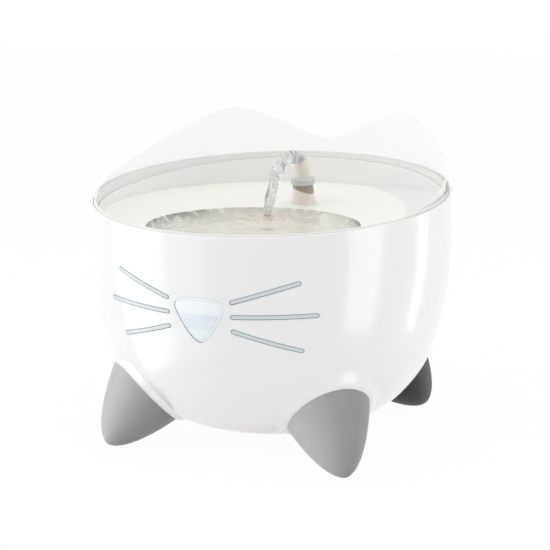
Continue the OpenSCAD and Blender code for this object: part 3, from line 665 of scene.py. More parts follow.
@dataclass(frozen=True)
class PaintedReflectionBrook(Clear):
    """Moving water with thin strokes of painted reflection and a tint round the place where the stream falls
    in.
    """

    # Colour of the painted reflections in the ripples.
    reflection_dark: Colour = (0.5, 0.48, 0.4)
    warm: Colour = (0.9, 0.8, 0.75)
    splash: tuple[float, float, float] = (-0.004, 0.003, 0.142)
    stroke_scale: float = 95.0
    stretch: tuple[float, float, float] = (0.7, 1.6, 1.0)
    width: float = 0.035
    share: float = 0.6
    stroke_alpha: float = 0.95
    tint: Span = (0.008, 0.04)
    tint_share: float = 0.85
    edge_r: float = 0.0
    edge_w: float = 0.0065
    edge_gaps: Span = (0.46, 0.54)
    ends: Span = (0.04, 0.066)
    core: Span = (0.002, 0.007)
    core_gaps: Span = (0.4, 0.6)
    core_share: float = 0.7
    edge_shade: float = 0.12
    middle: tuple[float, float, float] = (-0.001, -0.0295, 0.0)

    def paint(self, tree: Tree) -> None:
        """Adds the strokes of painted reflection, which are dark at the pool's edge, and the tint.

        Args:
            tree: The material's tree.
        """
        super().paint(tree)
        away = tree.reach(self.splash, FLAT)
        base = tree.mix((1.0 - away.step(*self.tint)) * self.tint_share, self.colour, self.warm)
        waves = tree.noise(self.stroke_scale, 3.0, self.stretch, 1.2)
        reflection_strokes = (1.0 - (waves - 0.5).size().step(0.0, self.width)) * self.share
        colour = tree.mix(reflection_strokes, base, self.reflection_dark)
        # Painted reflection: darker at the pool's ends and round the place where the stream falls in.
        if self.edge_r:
            ends = 0.3 + 0.7 * tree.reach(self.middle, (1, 0, 0)).step(*self.ends)
            rim = tree.reach(self.middle, FLAT).step(self.edge_r - self.edge_w, self.edge_r)
            core = (1.0 - away.step(*self.core)) * waves.step(*self.core_gaps)
            dark = (rim * waves.step(*self.edge_gaps) * ends).larger(core * self.core_share)
            colour = tree.mix(dark, colour, tuple(part * self.edge_shade for part in self.reflection_dark))
            tree.set(Alpha=self.alpha + dark.larger(reflection_strokes) * (self.stroke_alpha - self.alpha))
        tree.set(Base_Color=colour)


# The bowl's under colour is painted shade on its underside.
BOWL_WHITE = ShadedHull("glossy_white", linear(246, 245, 245), 0.2, 0.01, 20.0, coat=0.8,
                  under=linear(212, 201, 198))
# The tray's slope and side colours are painted shade on its walls.
TRAY_WHITE = ShadedDish("tray_white", linear(248, 247, 241), 0.34, 0.01, 25.0, coat=0.2,
                  slope=linear(236, 235, 234), side=linear(244, 243, 242))
PAN_WHITE = Finish("pan_white", linear(232, 234, 236), 0.45, 0.03, 40.0, 0.00004)
# The guard carries a painted glow above the rim plane.
GUARD_MILKY = PaintedGlowVeil("guard_milky", linear(196, 195, 196), 0.3, 0.004, 20.0, clearness=0.0, alpha=0.2,
                   foot=linear(238, 238, 238))
# The legs' dark colours are painted shade opposite their painted highlight.
LEG_GREY = ShadedCone("leg_grey", linear(193, 191, 192), 0.42, 0.04, 45.0, 0.00003, 3500.0,
                dark=linear(145, 143, 145))
# The rear legs' inner colour is painted shade under the bowl.
REAR_GREY_SHADED = ShadedCone("rear_grey", linear(196, 195, 196), 0.5, 0.04, 45.0, 0.00003, 3500.0,
                 dark=linear(152, 151, 152), inner=linear(16, 19, 19), near_x=0.084, far_x=0.121)
# The rubber tips carry the legs' painted highlight and the rear legs' painted shade.
TIP_RUBBER = replace(LEG_GREY, name="tip_rubber", rear=REAR_GREY_SHADED)
SEAL_RUBBER = Finish("seal_rubber", linear(104, 106, 110), 0.75, 0.08, 90.0, 0.00005)
COLLAR_GREY = Gloss("collar_grey", linear(202, 205, 208), 0.3, 0.03, 60.0, coat=0.4)
TUBE_CLEAR = Clear("tube_clear", linear(248, 245, 234), 0.22, 0.02, 90.0, clearness=0.15)
# The spout base's dark colour is a painted shadow under the collar.
BASE_CLEAR = ShadowedSleeve("base_clear", linear(254, 244, 236), 0.12, 0.02, 90.0, clearness=0.0, alpha=0.78,
                    dark=linear(172, 163, 148))
LENS_CLEAR = Clear("lens_clear", linear(232, 240, 244), 0.12, 0.02, 90.0, clearness=0.8)
PUMP_BLACK = Finish("pump_black", linear(52, 55, 60), 0.42, 0.12, 70.0, 0.00006)
DIAL_ORANGE = Finish("dial_orange", linear(224, 128, 52), 0.42, 0.06, 80.0, 0.00004)
IMPELLER_WHITE = Finish("impeller_white", linear(230, 231, 233), 0.4, 0.04, 120.0, 0.00004)
CERAMIC = Gloss("ceramic", linear(233, 230, 222), 0.25, 0.03, 150.0, coat=0.2)
BUSH_BLACK = Finish("bush_black", linear(34, 35, 38), 0.6, 0.1, 200.0, 0.00003)
MAGNET = Finish("magnet", linear(46, 46, 50), 0.5, 0.2, 220.0, 0.00006)
BOARD_GREEN = Finish("board_green", linear(32, 104, 66), 0.38, 0.12, 260.0)
LEAD_WHITE = Finish("lead_white", linear(222, 222, 222), 0.5, 0.05, 90.0, 0.00004)
STEEL = Metal("steel", linear(200, 202, 205), 0.3, 0.1, 220.0)
COPPER = Winding("copper", linear(190, 110, 62), 0.35)
CARBON = Grains("carbon", linear(52, 54, 58), 0.6, dark=linear(14, 15, 17), cell_scale=520.0)
SPONGE = Grains("sponge", linear(50, 52, 55), 0.9, dark=linear(10, 11, 12), cell_scale=1100.0, depth=0.0006)
COTTON = Felt("cotton", linear(240, 243, 246), 0.95)
# The windows' light upper colour is a painted sheen; their edge colour shows as painted shade on the lower
# left.
NOSE_BLUE = Window("nose_blue", linear(249, 252, 255), 0.2, edge=linear(40, 58, 66),
                   gap=linear(243, 252, 253), low=linear(231, 239, 247), tip=linear(239, 250, 253))
WHISKER_TEAL = Window("whisker_teal", linear(190, 201, 212), 0.25, edge=linear(66, 84, 92),
                      gap=linear(212, 222, 226), low=linear(184, 204, 208), tip=linear(180, 202, 205),
                      border_z=0.1075, outline=0.5, second=9.0)
# The water's stroke colours are painted reflections.
POOL_WATER = PaintedReflectionBrook("pool_water", linear(251, 252, 243), 0.03, 0.0, 50.0, clearness=0.25, ior=WATER_IOR,
                   alpha=0.34, reflection_dark=linear(112, 108, 86), warm=linear(253, 233, 222), edge_r=0.0688,
                   width=0.012)
STREAM_WATER = PaintedReflectionBrook("stream_water", linear(243, 246, 249), 0.02, 0.0, 50.0, clearness=0.75, ior=WATER_IOR,
                     reflection_dark=linear(134, 142, 160), warm=linear(248, 246, 242), stroke_scale=120.0,
                     stretch=(1.6, 0.7, 0.6), width=0.05, share=0.55)

CAD_FINISHES: dict[str, Finish] = {node: finish for finish, nodes in (
    (BOWL_WHITE, "tank pump_stand"),
    (GUARD_MILKY, "splash_guard"),
    (TRAY_WHITE, "drinking_tray"),
    (BASE_CLEAR, "spout_base"),
    (COLLAR_GREY, "spout_collar"),
    (TUBE_CLEAR, "spout_tube"),
    (SEAL_RUBBER, "stub_seal suction_cups inlet_gasket"),
    (PAN_WHITE, "riser_tube filter_pan filter_lid"),
    (LENS_CLEAR, "nose_window whisker_window_left whisker_window_right led_lens"),
    (LEG_GREY, "leg_front_left leg_front_right"),
    (REAR_GREY_SHADED, "leg_rear_left leg_rear_right"),
    (TIP_RUBBER, "leg_tips"),
    (STEEL, "leg_screws"),
    (CARBON, "carbon_layer"),
    (COTTON, "filter_pad"),
    (PUMP_BLACK, "pump_case motor_cap impeller_cover intake_cover power_inlet inlet_nut"),
    (COPPER, "motor_coil"),
    (BOARD_GREEN, "led_board"),
    (DIAL_ORANGE, "flow_dial"),
    (SPONGE, "intake_sponge"),
    (CERAMIC, "impeller_shaft"),
    (BUSH_BLACK, "shaft_bush_front shaft_bush_rear"),
    (MAGNET, "magnet_rotor"),
    (IMPELLER_WHITE, "impeller"),
    (LEAD_WHITE, "pump_lead")) for node in nodes.split()}


# ---------------------------------------------------------------- mesh tools


def smooth_by_angle(obj: bpy.types.Object, degrees: float) -> None:
    """Shades an object smooth, with creases where its faces meet at more than an angle.

    Args:
        obj: The object.
        degrees: The angle.
    """
    mesh = obj.data
    mesh.polygons.foreach_set("use_smooth", [True] * len(mesh.polygons))
    work = bmesh.new()
    work.from_mesh(mesh)
    for edge in work.edges:
        edge.smooth = len(edge.link_faces) == 2 and edge.calc_face_angle(0.0) < math.radians(degrees)
    work.to_mesh(mesh)
    work.free()


def to_object(name: str, work: bmesh.types.BMesh, finish: Finish,
              crease: float = 32.0) -> bpy.types.Object:
    """Turns a bmesh in millimetres into an object at the origin, in metres.

    Args:
        name: The object's name.
        work: The bmesh, which is freed.
        finish: The object's finish.
        crease: Angle in degrees past which an edge stays sharp.

    Returns:
        The object.
    """
    bmesh.ops.scale(work, vec=(MM, MM, MM), verts=work.verts)
    mesh = bpy.data.meshes.new(name)
    work.to_mesh(mesh)
    work.free()
    obj = bpy.data.objects.new(name, mesh)
    bpy.context.scene.collection.objects.link(obj)
    mesh.materials.append(finish.material())
    smooth_by_angle(obj, crease)
    return obj


def chain(work: bmesh.types.BMesh, points: Iterable[Sequence[float]], closed: bool = False) -> list[Any]:
    """Adds points and the edges between them.

    Args:
        work: The bmesh.
        points: The points.
        closed: Whether the last point joins the first.

    Returns:
        The new vertices and edges.
    """
    verts = [work.verts.new(point) for point in points]
    edges = [work.edges.new(pair) for pair in zip(verts, verts[1:])]
    if closed:
        edges.append(work.edges.new((verts[-1], verts[0])))
    return [*verts, *edges]


def turned(profile: Profile, steps: int) -> bmesh.types.BMesh:
    """Turns a profile of radius and height round Z.

    Args:
        profile: The points, which end on the axis or close on themselves.
        steps: Steps of the full turn.

    Returns:
        The closed form.
    """
    work = bmesh.new()
    closed = profile[0][0] > 0 and profile[-1][0] > 0
    geometry = chain(work, [(radius, 0.0, height) for radius, height in profile], closed)
    bmesh.ops.spin(work, geom=geometry, cent=(0, 0, 0), axis=(0, 0, 1), angle=2 * math.pi, steps=steps,
                   use_merge=True)
    bmesh.ops.remove_doubles(work, verts=work.verts, dist=1e-4)
    bmesh.ops.recalc_face_normals(work, faces=work.faces)
    return work


def moved(work: bmesh.types.BMesh, matrix: Matrix) -> bmesh.types.BMesh:
    """Moves a bmesh and returns it."""
    bmesh.ops.transform(work, matrix=matrix, verts=work.verts)
    return work


def cut(target: bpy.types.Object, tools: Iterable[bpy.types.Object], operation: str = "DIFFERENCE") -> None:
    """Applies booleans to an object and removes the tools.

    Args:
        target: The object.
        tools: The tools, which are deleted.
        operation: DIFFERENCE, UNION or INTERSECT.
    """
    for tool in tools:
        modifier = target.modifiers.new("cut", "BOOLEAN")
        modifier.operation = operation
        modifier.solver = "MANIFOLD"
        modifier.object = tool
        apply_modifiers(target)
        mesh = tool.data
        bpy.data.objects.remove(tool)
        bpy.data.meshes.remove(mesh)


def apply_modifiers(obj: bpy.types.Object) -> None:
    """Applies all modifiers of an object to its mesh.

    Args:
        obj: The object.
    """
    graph = bpy.context.evaluated_depsgraph_get()
    graph.update()
    mesh = bpy.data.meshes.new_from_object(obj.evaluated_get(graph), preserve_all_data_layers=True,
                                           depsgraph=graph)
    old = obj.data
    obj.modifiers.clear()
    obj.data = mesh
    name = old.name
    bpy.data.meshes.remove(old)
    mesh.name = name


def tool_from(work: bmesh.types.BMesh) -> bpy.types.Object:
    """Makes a boolean tool from a bmesh in millimetres."""
    return to_object("tool", work, BOWL_WHITE)


def arc(centre: tuple[float, float], radius: float, start: float, end: float, count: int) -> Profile:
    """Returns points on an arc."""
    angles = [math.radians(start + (end - start) * step / count) for step in range(count + 1)]
    return [(centre[0] + radius * math.cos(angle), centre[1] + radius * math.sin(angle)) for angle in angles]


def cylinder(radius: float, height: float, steps: int) -> bmesh.types.BMesh:
    """Returns an upright cylinder that stands on the origin.

    Args:
        radius: Its radius.
        height: Its height.
        steps: Its sides.

    Returns:
        The cylinder.
    """
    work = bmesh.new()
    bmesh.ops.create_cone(work, cap_ends=True, segments=steps, radius1=radius, radius2=radius, depth=height,
                          matrix=Matrix.Translation((0, 0, height / 2)))
    return work


def prism(outline: Sequence[tuple[float, float]], start: float, end: float) -> bmesh.types.BMesh:
    """Returns an outline in X and Z, carried along Y.

    Args:
        outline: Its points, X and Z.
        start: Y at which it starts.
        end: Y at which it ends.

    Returns:
        The closed prism.
    """
    work = bmesh.new()
    face = work.faces.new([work.verts.new((x, start, z)) for x, z in outline])
    grown = bmesh.ops.extrude_face_region(work, geom=[face])
    verts = [item for item in grown["geom"] if isinstance(item, bmesh.types.BMVert)]
    bmesh.ops.translate(work, vec=(0, end - start, 0), verts=verts)
    bmesh.ops.recalc_face_normals(work, faces=work.faces)
    return work


def join(work: bmesh.types.BMesh, extra: bmesh.types.BMesh) -> None:
    """Adds one bmesh to another and frees it.

    Args:
        work: The bmesh that grows.
        extra: The bmesh that is added.
    """
    mesh = bpy.data.meshes.new("join")
    extra.to_mesh(mesh)
    extra.free()
    work.from_mesh(mesh)
    bpy.data.meshes.remove(mesh)


def slice_off(work: bmesh.types.BMesh, point: Vector, outward: Vector) -> None:
    """Cuts off what lies past a plane and closes the cut.

    Args:
        work: The bmesh.
        point: A point of the plane.
        outward: The side that goes.
    """
    found = bmesh.ops.bisect_plane(work, geom=[*work.verts, *work.edges, *work.faces], plane_co=point,
                                   plane_no=outward, clear_outer=True)
    edges = [item for item in found["geom_cut"] if isinstance(item, bmesh.types.BMEdge)]
    bmesh.ops.contextual_create(work, geom=edges)
    bmesh.ops.recalc_face_normals(work, faces=work.faces)


def distance_to_span(point: Vector, start: Vector, end: Vector) -> float:
    """Returns a point's distance from a straight span.

    Args:
        point: The point.
        start: One end of the span.
        end: The other end.

    Returns:
        The distance.
    """
    along = end - start
    share = max(0.0, min(1.0, (point - start).dot(along) / max(along.length_squared, 1e-12)))
    return (point - start - along * share).length


# ---------------------------------------------------------------- shared forms


@dataclass
class RimPlane:
    """The plane that the rim, the guard, the tray and the spout are square to."""

    height: float = 160.5
    tilt: float = 5.0
    seat_shift: float = 0.8

    def frame(self, y: float = 0.0, z: float = 0.0) -> Matrix:
        """Returns the transform of a point of the plane, y towards the back and z square to the plane."""
        return (Matrix.Translation((0, 0, self.height)) @ Matrix.Rotation(math.radians(self.tilt), 4, "X")
                @ Matrix.Translation((0.0, y, z)))

    def seat(self, z: float = 0.0) -> Matrix:
        """Returns the transform of the seat's centre at a height over the rim plane."""
        return self.frame(-self.seat_shift, z)


@dataclass
class BowlForm:
    """Outline of the bowl: three arcs that run into each other."""

    radius: float = 119.4
    wide_z: float = 131.0
    belly_z: float = 8.5
    edge_r: float = 74.0
    side_angle: float = 16.5
    shoulder_r: float = 370.0
    top_z: float = 176.5

    @property
    def join_z(self) -> float:
        """Height at which the round lower edge runs into the side."""
        return self.belly_z + self.edge_r * (1 - math.sin(math.radians(self.side_angle)))

    @property
    def side_r(self) -> float:
        """Radius of the side's arc."""
        return (self.wide_z - self.join_z) / math.sin(math.radians(self.side_angle))

    @property
    def belly_r(self) -> float:
        """Radius of the flat underside."""
        angle = math.radians(self.side_angle)
        return self.radius - self.side_r * (1 - math.cos(angle)) - self.edge_r * math.cos(angle)

    def outline(self, inward: float) -> Profile:
        """Returns the outline from the bottom's middle to the top's.

        Args:
            inward: How far the outline is moved inward.

        Returns:
            The points.
        """
        top_angle = math.degrees(math.asin((self.top_z - self.wide_z) / (self.shoulder_r - inward)))
        return [(0.0, self.belly_z + inward),
                *arc((self.belly_r, self.belly_z + self.edge_r), self.edge_r - inward,
                     -90, -self.side_angle, 40),
                *arc((self.radius - self.side_r, self.wide_z), self.side_r - inward,
                     -self.side_angle, 0, 24)[1:],
                *arc((self.radius - self.shoulder_r, self.wide_z), self.shoulder_r - inward,
                     0, top_angle, 10)[1:],
                (0.0, self.top_z)]

    def solid(self, inward: float, steps: int = TURN_STEPS) -> bmesh.types.BMesh:
        """Returns the bowl's form, filled and moved inward by a distance."""
        return turned(self.outline(inward), steps)

    def radius_at(self, height: float, inward: float) -> float:
        """Returns the form's radius at a height.

        Args:
            height: The height.
            inward: How far the form is moved inward.

        Returns:
            The radius.
        """
        if height < self.join_z:
            reach, centre_r, centre_z = self.edge_r - inward, self.belly_r, self.belly_z + self.edge_r
        elif height < self.wide_z:
            reach, centre_r, centre_z = self.side_r - inward, self.radius - self.side_r, self.wide_z
        else:
            reach, centre_r, centre_z = self.shoulder_r - inward, self.radius - self.shoulder_r, self.wide_z
        return centre_r + math.sqrt(max(0.0, reach ** 2 - (height - centre_z) ** 2))


@dataclass
class LegForm:
    """Form of a leg: a leaning cone with a round tip."""

    apex_r: float = 118.0
    lean: float = 41.0
    length: float = 75.0
    root_r: float = 35.0
    tip_flat: float = 0.5
    power: float = 1.266
    fullness: float = 0.573
    turns: tuple[float, ...] = (44.0, 131.0, 229.0, 316.0)
    steps: int = 128
    rings: int = 70

    def radius_at(self, along: float) -> float:
        """Returns the leg's radius at a distance from its apex."""
        return self.root_r * (1 - (1 - min(along, self.length) / self.length) ** self.power) ** self.fullness

    @property
    def apex_z(self) -> float:
        """Height of the apex, from the form's own lowest point.

        Returns:
            The height.
        """
        lean = math.radians(self.lean)
        low = min(s * 0.05 * math.cos(lean) - self.radius_at(s * 0.05) * math.sin(lean) for s in range(161))
        return -low - self.tip_flat

    def solid(self, turn: float) -> bmesh.types.BMesh:
        """Returns the leg's full form in its place.

        Args:
            turn: Angle of the leg from the front.

        Returns:
            The closed form.
        """
        stations = [self.length * (ring / self.rings) ** 2 for ring in range(1, self.rings + 1)]
        profile = [(0.0, 0.0), *((self.radius_at(s), s) for s in stations), (0.0, self.length)]
        return moved(turned(profile, self.steps), self.frame(turn))

    def frame(self, turn: float) -> Matrix:
        """Returns the transform of a leg, whose axis is Z.

        Args:
            turn: The leg's angle from the front.

        Returns:
            The transform.
        """
        return (Matrix.Rotation(math.radians(turn - 90), 4, "Z")
                @ Matrix.Translation((self.apex_r, 0, self.apex_z))
                @ Matrix.Rotation(math.radians(-self.lean), 4, "Y"))


# ---------------------------------------------------------------- scene


def direction(turn: float, rise: float) -> Vector:
    """Returns the direction at a turn from the front and a rise over level, both in degrees."""
    across, up = math.radians(turn), math.radians(rise)
    return Vector((math.sin(across) * math.cos(up), -math.cos(across) * math.cos(up), math.sin(up)))


@dataclass
class Studio:
    """Camera, lights and floor. Each lamp has a turn, a rise, a size in metres and a glow."""

    turn: float = 21.3
    rise: float = 14.5
    distance: float = 851.0
    target_z: float = 70.0
    focal_px: float = 1256.0
    image_px: float = 550.0
    centre_px: tuple[float, float] = (271.5, 323.0)
    sensor: float = 36.0
    lamps: tuple[tuple[str, float, float, Span, float], ...] = (
        ("left", -67.0, 5.0, (1.25, 2.9), 1.4),
        ("half", -33.0, 5.0, (0.85, 2.9), 0.62),
        ("streak", 78.5, 9.0, (0.66, 2.5), 1.6),
        ("edge", 124.5, 11.0, (0.3, 2.4), 1.45),
        ("top", 10.0, 86.0, (1.8, 1.8), 0.95))
    lamp_reach: float = 1.6
    lamp_z: float = 0.08
    floor_half: float = 6000.0
    floor_white: float = 0.96
    world_level: float = 0.49

    def build(self) -> None:
        """Sets up the camera, the lights, the floor and the world."""
        self.add_camera()
        self.add_lamps()
        self.add_floor()
        self.add_world()
        bpy.context.scene.view_settings.view_transform = "Standard"

    def add_camera(self) -> None:
        """Places the camera and makes it the scene's camera."""
        data = bpy.data.cameras.new("camera")
        data.sensor_width = self.sensor
        data.lens = self.focal_px / self.image_px * self.sensor
        turn = math.radians(self.turn)
        back = direction(self.turn, self.rise)
        right = Vector((math.cos(turn), math.sin(turn), 0.0))
        rotation = Matrix((right, back.cross(right), back)).transposed()
        eye = Vector((0, 0, self.target_z)) + back * self.distance
        camera = bpy.data.objects.new("camera", data)
        camera.matrix_world = Matrix.Translation(eye * MM) @ rotation.to_4x4()
        half = self.image_px / 2
        data.shift_x = (half - self.centre_px[0]) / self.image_px
        data.shift_y = (self.centre_px[1] - half) / self.image_px
        bpy.context.scene.collection.objects.link(camera)
        bpy.context.scene.camera = camera

    def add_lamps(self) -> None:
        """Adds the soft boxes, which face the object's middle."""
        for name, turn, rise, size, glow in self.lamps:
            data = bpy.data.lights.new(name, "AREA")
            data.shape = "RECTANGLE"
            data.size, data.size_y = size
            data.energy = glow * math.pi * size[0] * size[1]
            lamp = bpy.data.objects.new(name, data)
            away = direction(turn, rise)
            lamp.location = away * self.lamp_reach + Vector((0, 0, self.lamp_z))
            lamp.rotation_euler = (-away).to_track_quat("-Z", "Y").to_euler()
            bpy.context.scene.collection.objects.link(lamp)

    def add_floor(self) -> None:
        """Adds the pale floor, which is nearly white to the camera but for the object's shadow."""
        work = bmesh.new()
        bmesh.ops.create_grid(work, x_segments=8, y_segments=8, size=self.floor_half)
        finish = Finish("floor_pale", linear(250, 250, 250), 0.9, 0.0)
        floor = to_object("studio_floor", work, finish)
        tree = Tree("studio_floor")
        finish.paint(tree)
        share = Wire(tree, seen_rays(tree.nodes, tree.links)) * self.floor_white
        glow = tree.add("ShaderNodeEmission", inputs={"Color": (1.0, 1.0, 1.0), "Strength": 1.0})
        plain = Wire(tree, tree.shader.outputs[0])
        blend = tree.add("ShaderNodeMixShader", inputs={0: share, 1: plain, 2: glow})
        glossy = tree.add("ShaderNodeLightPath", output="Is Glossy Ray")
        clear = tree.add("ShaderNodeBsdfTransparent")
        mirror = tree.add("ShaderNodeMixShader", inputs={0: glossy, 1: blend, 2: clear})
        tree.feed(tree.output.inputs["Surface"], mirror)
        floor.data.materials[0] = tree.material

    def add_world(self) -> None:
        """Gives the world an even light, and shows white behind the object."""
        world = bpy.data.worlds.new("studio")
        world.use_nodes = True
        tree = world.node_tree
        background = next(node for node in tree.nodes if node.type == "BACKGROUND")
        background.inputs["Color"].default_value = (1.0, 1.0, 1.0, 1.0)
        level = tree.nodes.new("ShaderNodeMapRange")
        level.inputs["To Min"].default_value = self.world_level
        level.inputs["To Max"].default_value = 1.0
        tree.links.new(seen_rays(tree.nodes, tree.links), level.inputs["Value"])
        tree.links.new(level.outputs[0], background.inputs["Strength"])
        bpy.context.scene.world = world


def seen_rays(nodes: bpy.types.Nodes, links: bpy.types.NodeLinks) -> bpy.types.NodeSocket:
    """Returns a socket that is 1 for rays that show the background: camera, glossy and transmitted rays.

    Args:
        nodes: The tree's nodes.
        links: The tree's links.

    Returns:
        The socket.
    """
    path = nodes.new("ShaderNodeLightPath")
    total = path.outputs["Is Camera Ray"]
    for name in ("Is Glossy Ray", "Is Transmission Ray"):
        either = nodes.new("ShaderNodeMath")
        either.operation = "MAXIMUM"
        links.new(total, either.inputs[0])
        links.new(path.outputs[name], either.inputs[1])
        total = either.outputs[0]
    return total


# ---------------------------------------------------------------- sub-assemblies


@dataclass
class Bowl:
    """The white bowl: its outer form with leg collars, its seat and ledge, ribs and openings."""

    form: BowlForm = field(default_factory=BowlForm)
    legs: LegForm = field(default_factory=LegForm)
    rim: RimPlane = field(default_factory=RimPlane)
    wall: float = 3.0
    seat_r: float = 116.5
    ledge_r: float = 111.7
    ledge_h: float = -24.0
    ledge_t: float = 2.0
    collar: float = 2.2
    collar_blend: float = 6.0
    pan_r: float = 99.5
    pan_seat_z: float = 103.7
    rib_turns: tuple[float, ...] = (62.0, 118.0, 242.0, 298.0)
    rib_half_t: float = 1.5
    rib_lap: float = 6
    rib_tip: float = 3
    rib_root: float = 12
    rib_run: float = 8
    inlet_z: float = 124.0
    inlet_face: float = 116.8
    boss: tuple[float, float, float] = (11.0, 20.0, -6.0)
    barrel_hole: tuple[float, float, float] = (5.6, 60.0, -30.0)
    flange_hole: tuple[float, float, float] = (8.2, 30.0, -3.0)
    face: "CatFace" = field(default_factory=lambda: CatFace())

    def build(self) -> bpy.types.Object:
        """Builds the bowl and returns it.

        Returns:
            The bowl.
        """
        bowl = to_object("bowl_shell", self.outside(), BOWL_WHITE)
        cut(bowl, [tool_from(self.form.solid(self.wall))])
        cut(bowl, [self.inside()], "UNION")
        sky = bmesh.new()
        bmesh.ops.create_cube(sky, size=400.0, matrix=self.rim.frame(z=200.0))
        seat = moved(cylinder(self.seat_r, 80.0, TURN_STEPS), self.rim.seat(self.ledge_h))
        openings = self.face.opening_tool()
        cut(openings, [tool_from(self.form.solid(self.wall + 0.01))])
        cut(bowl, [tool_from(sky), tool_from(seat), openings, *self.inlet_tools()])
        smooth_by_angle(bowl, 28.0)
        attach(bowl, Body.BASE.value)
        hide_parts("tank")
        return bowl

    def outside(self) -> bmesh.types.BMesh:
        """Returns the outer form, raised softly round the root of each leg.

        Returns:
            The closed form.
        """
        work = self.form.solid(0.0, FINE_STEPS)
        frames = [self.legs.frame(turn).inverted() for turn in self.legs.turns]
        centre = Vector((self.form.belly_r, self.form.belly_z + self.form.edge_r))
        for vert in work.verts:
            if vert.co.z > self.form.wide_z:
                continue
            raised = max(self.collar_share(frame @ vert.co) for frame in frames)
            if raised > 0:
                reach = math.hypot(vert.co.x, vert.co.y)
                away = (Vector((reach, vert.co.z)) - centre).normalized()
                out = Vector((vert.co.x / reach, vert.co.y / reach, 0.0)) * away.x + Vector((0, 0, away.y))
                vert.co += out * self.collar * raised
        return work

    def collar_share(self, point: Vector) -> float:
        """Returns how far the collar is raised at a point.

        Args:
            point: The point in a leg's frame.

        Returns:
            1 inside the leg's form, 0 well outside it.
        """
        if point.z < 0:
            return 0.0
        outside = (math.hypot(point.x, point.y) - self.legs.radius_at(point.z)) / self.collar_blend
        share = min(1.0, max(0.0, 1.0 - outside))
        return share * share * (3 - 2 * share)

    def inside(self) -> bpy.types.Object:
        """Returns what stands on the inner wall: ledge, ribs and inlet boss.

        Returns:
            The pieces, joined into one.
        """
        edge = self.form.radius
        under = self.ledge_h - self.ledge_t
        root = under - (self.seat_r - self.ledge_r + 1)
        ledge = [(self.ledge_r, self.ledge_h), (self.ledge_r, under), (edge, root), (edge + 2, root),
                 (edge + 2, 0.0), (self.seat_r - 1, 0.0), (self.seat_r - 1, self.ledge_h)]
        inside = tool_from(moved(turned(ledge, TURN_STEPS), self.rim.seat()))
        for turn in self.rib_turns:
            cut(inside, [tool_from(self.rib(turn))], "UNION")
        cut(inside, [tool_from(self.on_inlet(*self.boss))], "UNION")
        cut(inside, [tool_from(self.form.solid(self.wall / 2))], "INTERSECT")
        return inside

    def rib(self, turn: float) -> bmesh.types.BMesh:
        """Returns one of the ribs that the filter pan stands on.

        Args:
            turn: Its angle from the front.

        Returns:
            The rib.
        """
        inner, outer, top = self.pan_r - self.rib_lap, self.form.radius, self.pan_seat_z
        low = top - self.rib_root
        side = [(inner, top), (inner, top - self.rib_tip), (outer - self.rib_run, low), (outer, low),
                (outer, top)]
        work = prism(side, -self.rib_half_t, self.rib_half_t)
        return moved(work, Matrix.Rotation(math.radians(turn - 90), 4, "Z"))

    def inlet_tools(self) -> list[bpy.types.Object]:
        """Returns the cuts for the inlet's barrel and flange."""
        return [tool_from(self.on_inlet(*hole)) for hole in (self.barrel_hole, self.flange_hole)]

    def on_inlet(self, radius: float, length: float, start: float) -> bmesh.types.BMesh:
        """Returns a cylinder along the inlet's axis, which starts at a distance from the inlet's face."""
        place = Matrix.Translation((0, self.inlet_face + start, self.inlet_z))
        return moved(cylinder(radius, length, 64), place @ Matrix.Rotation(math.radians(-90), 4, "X"))


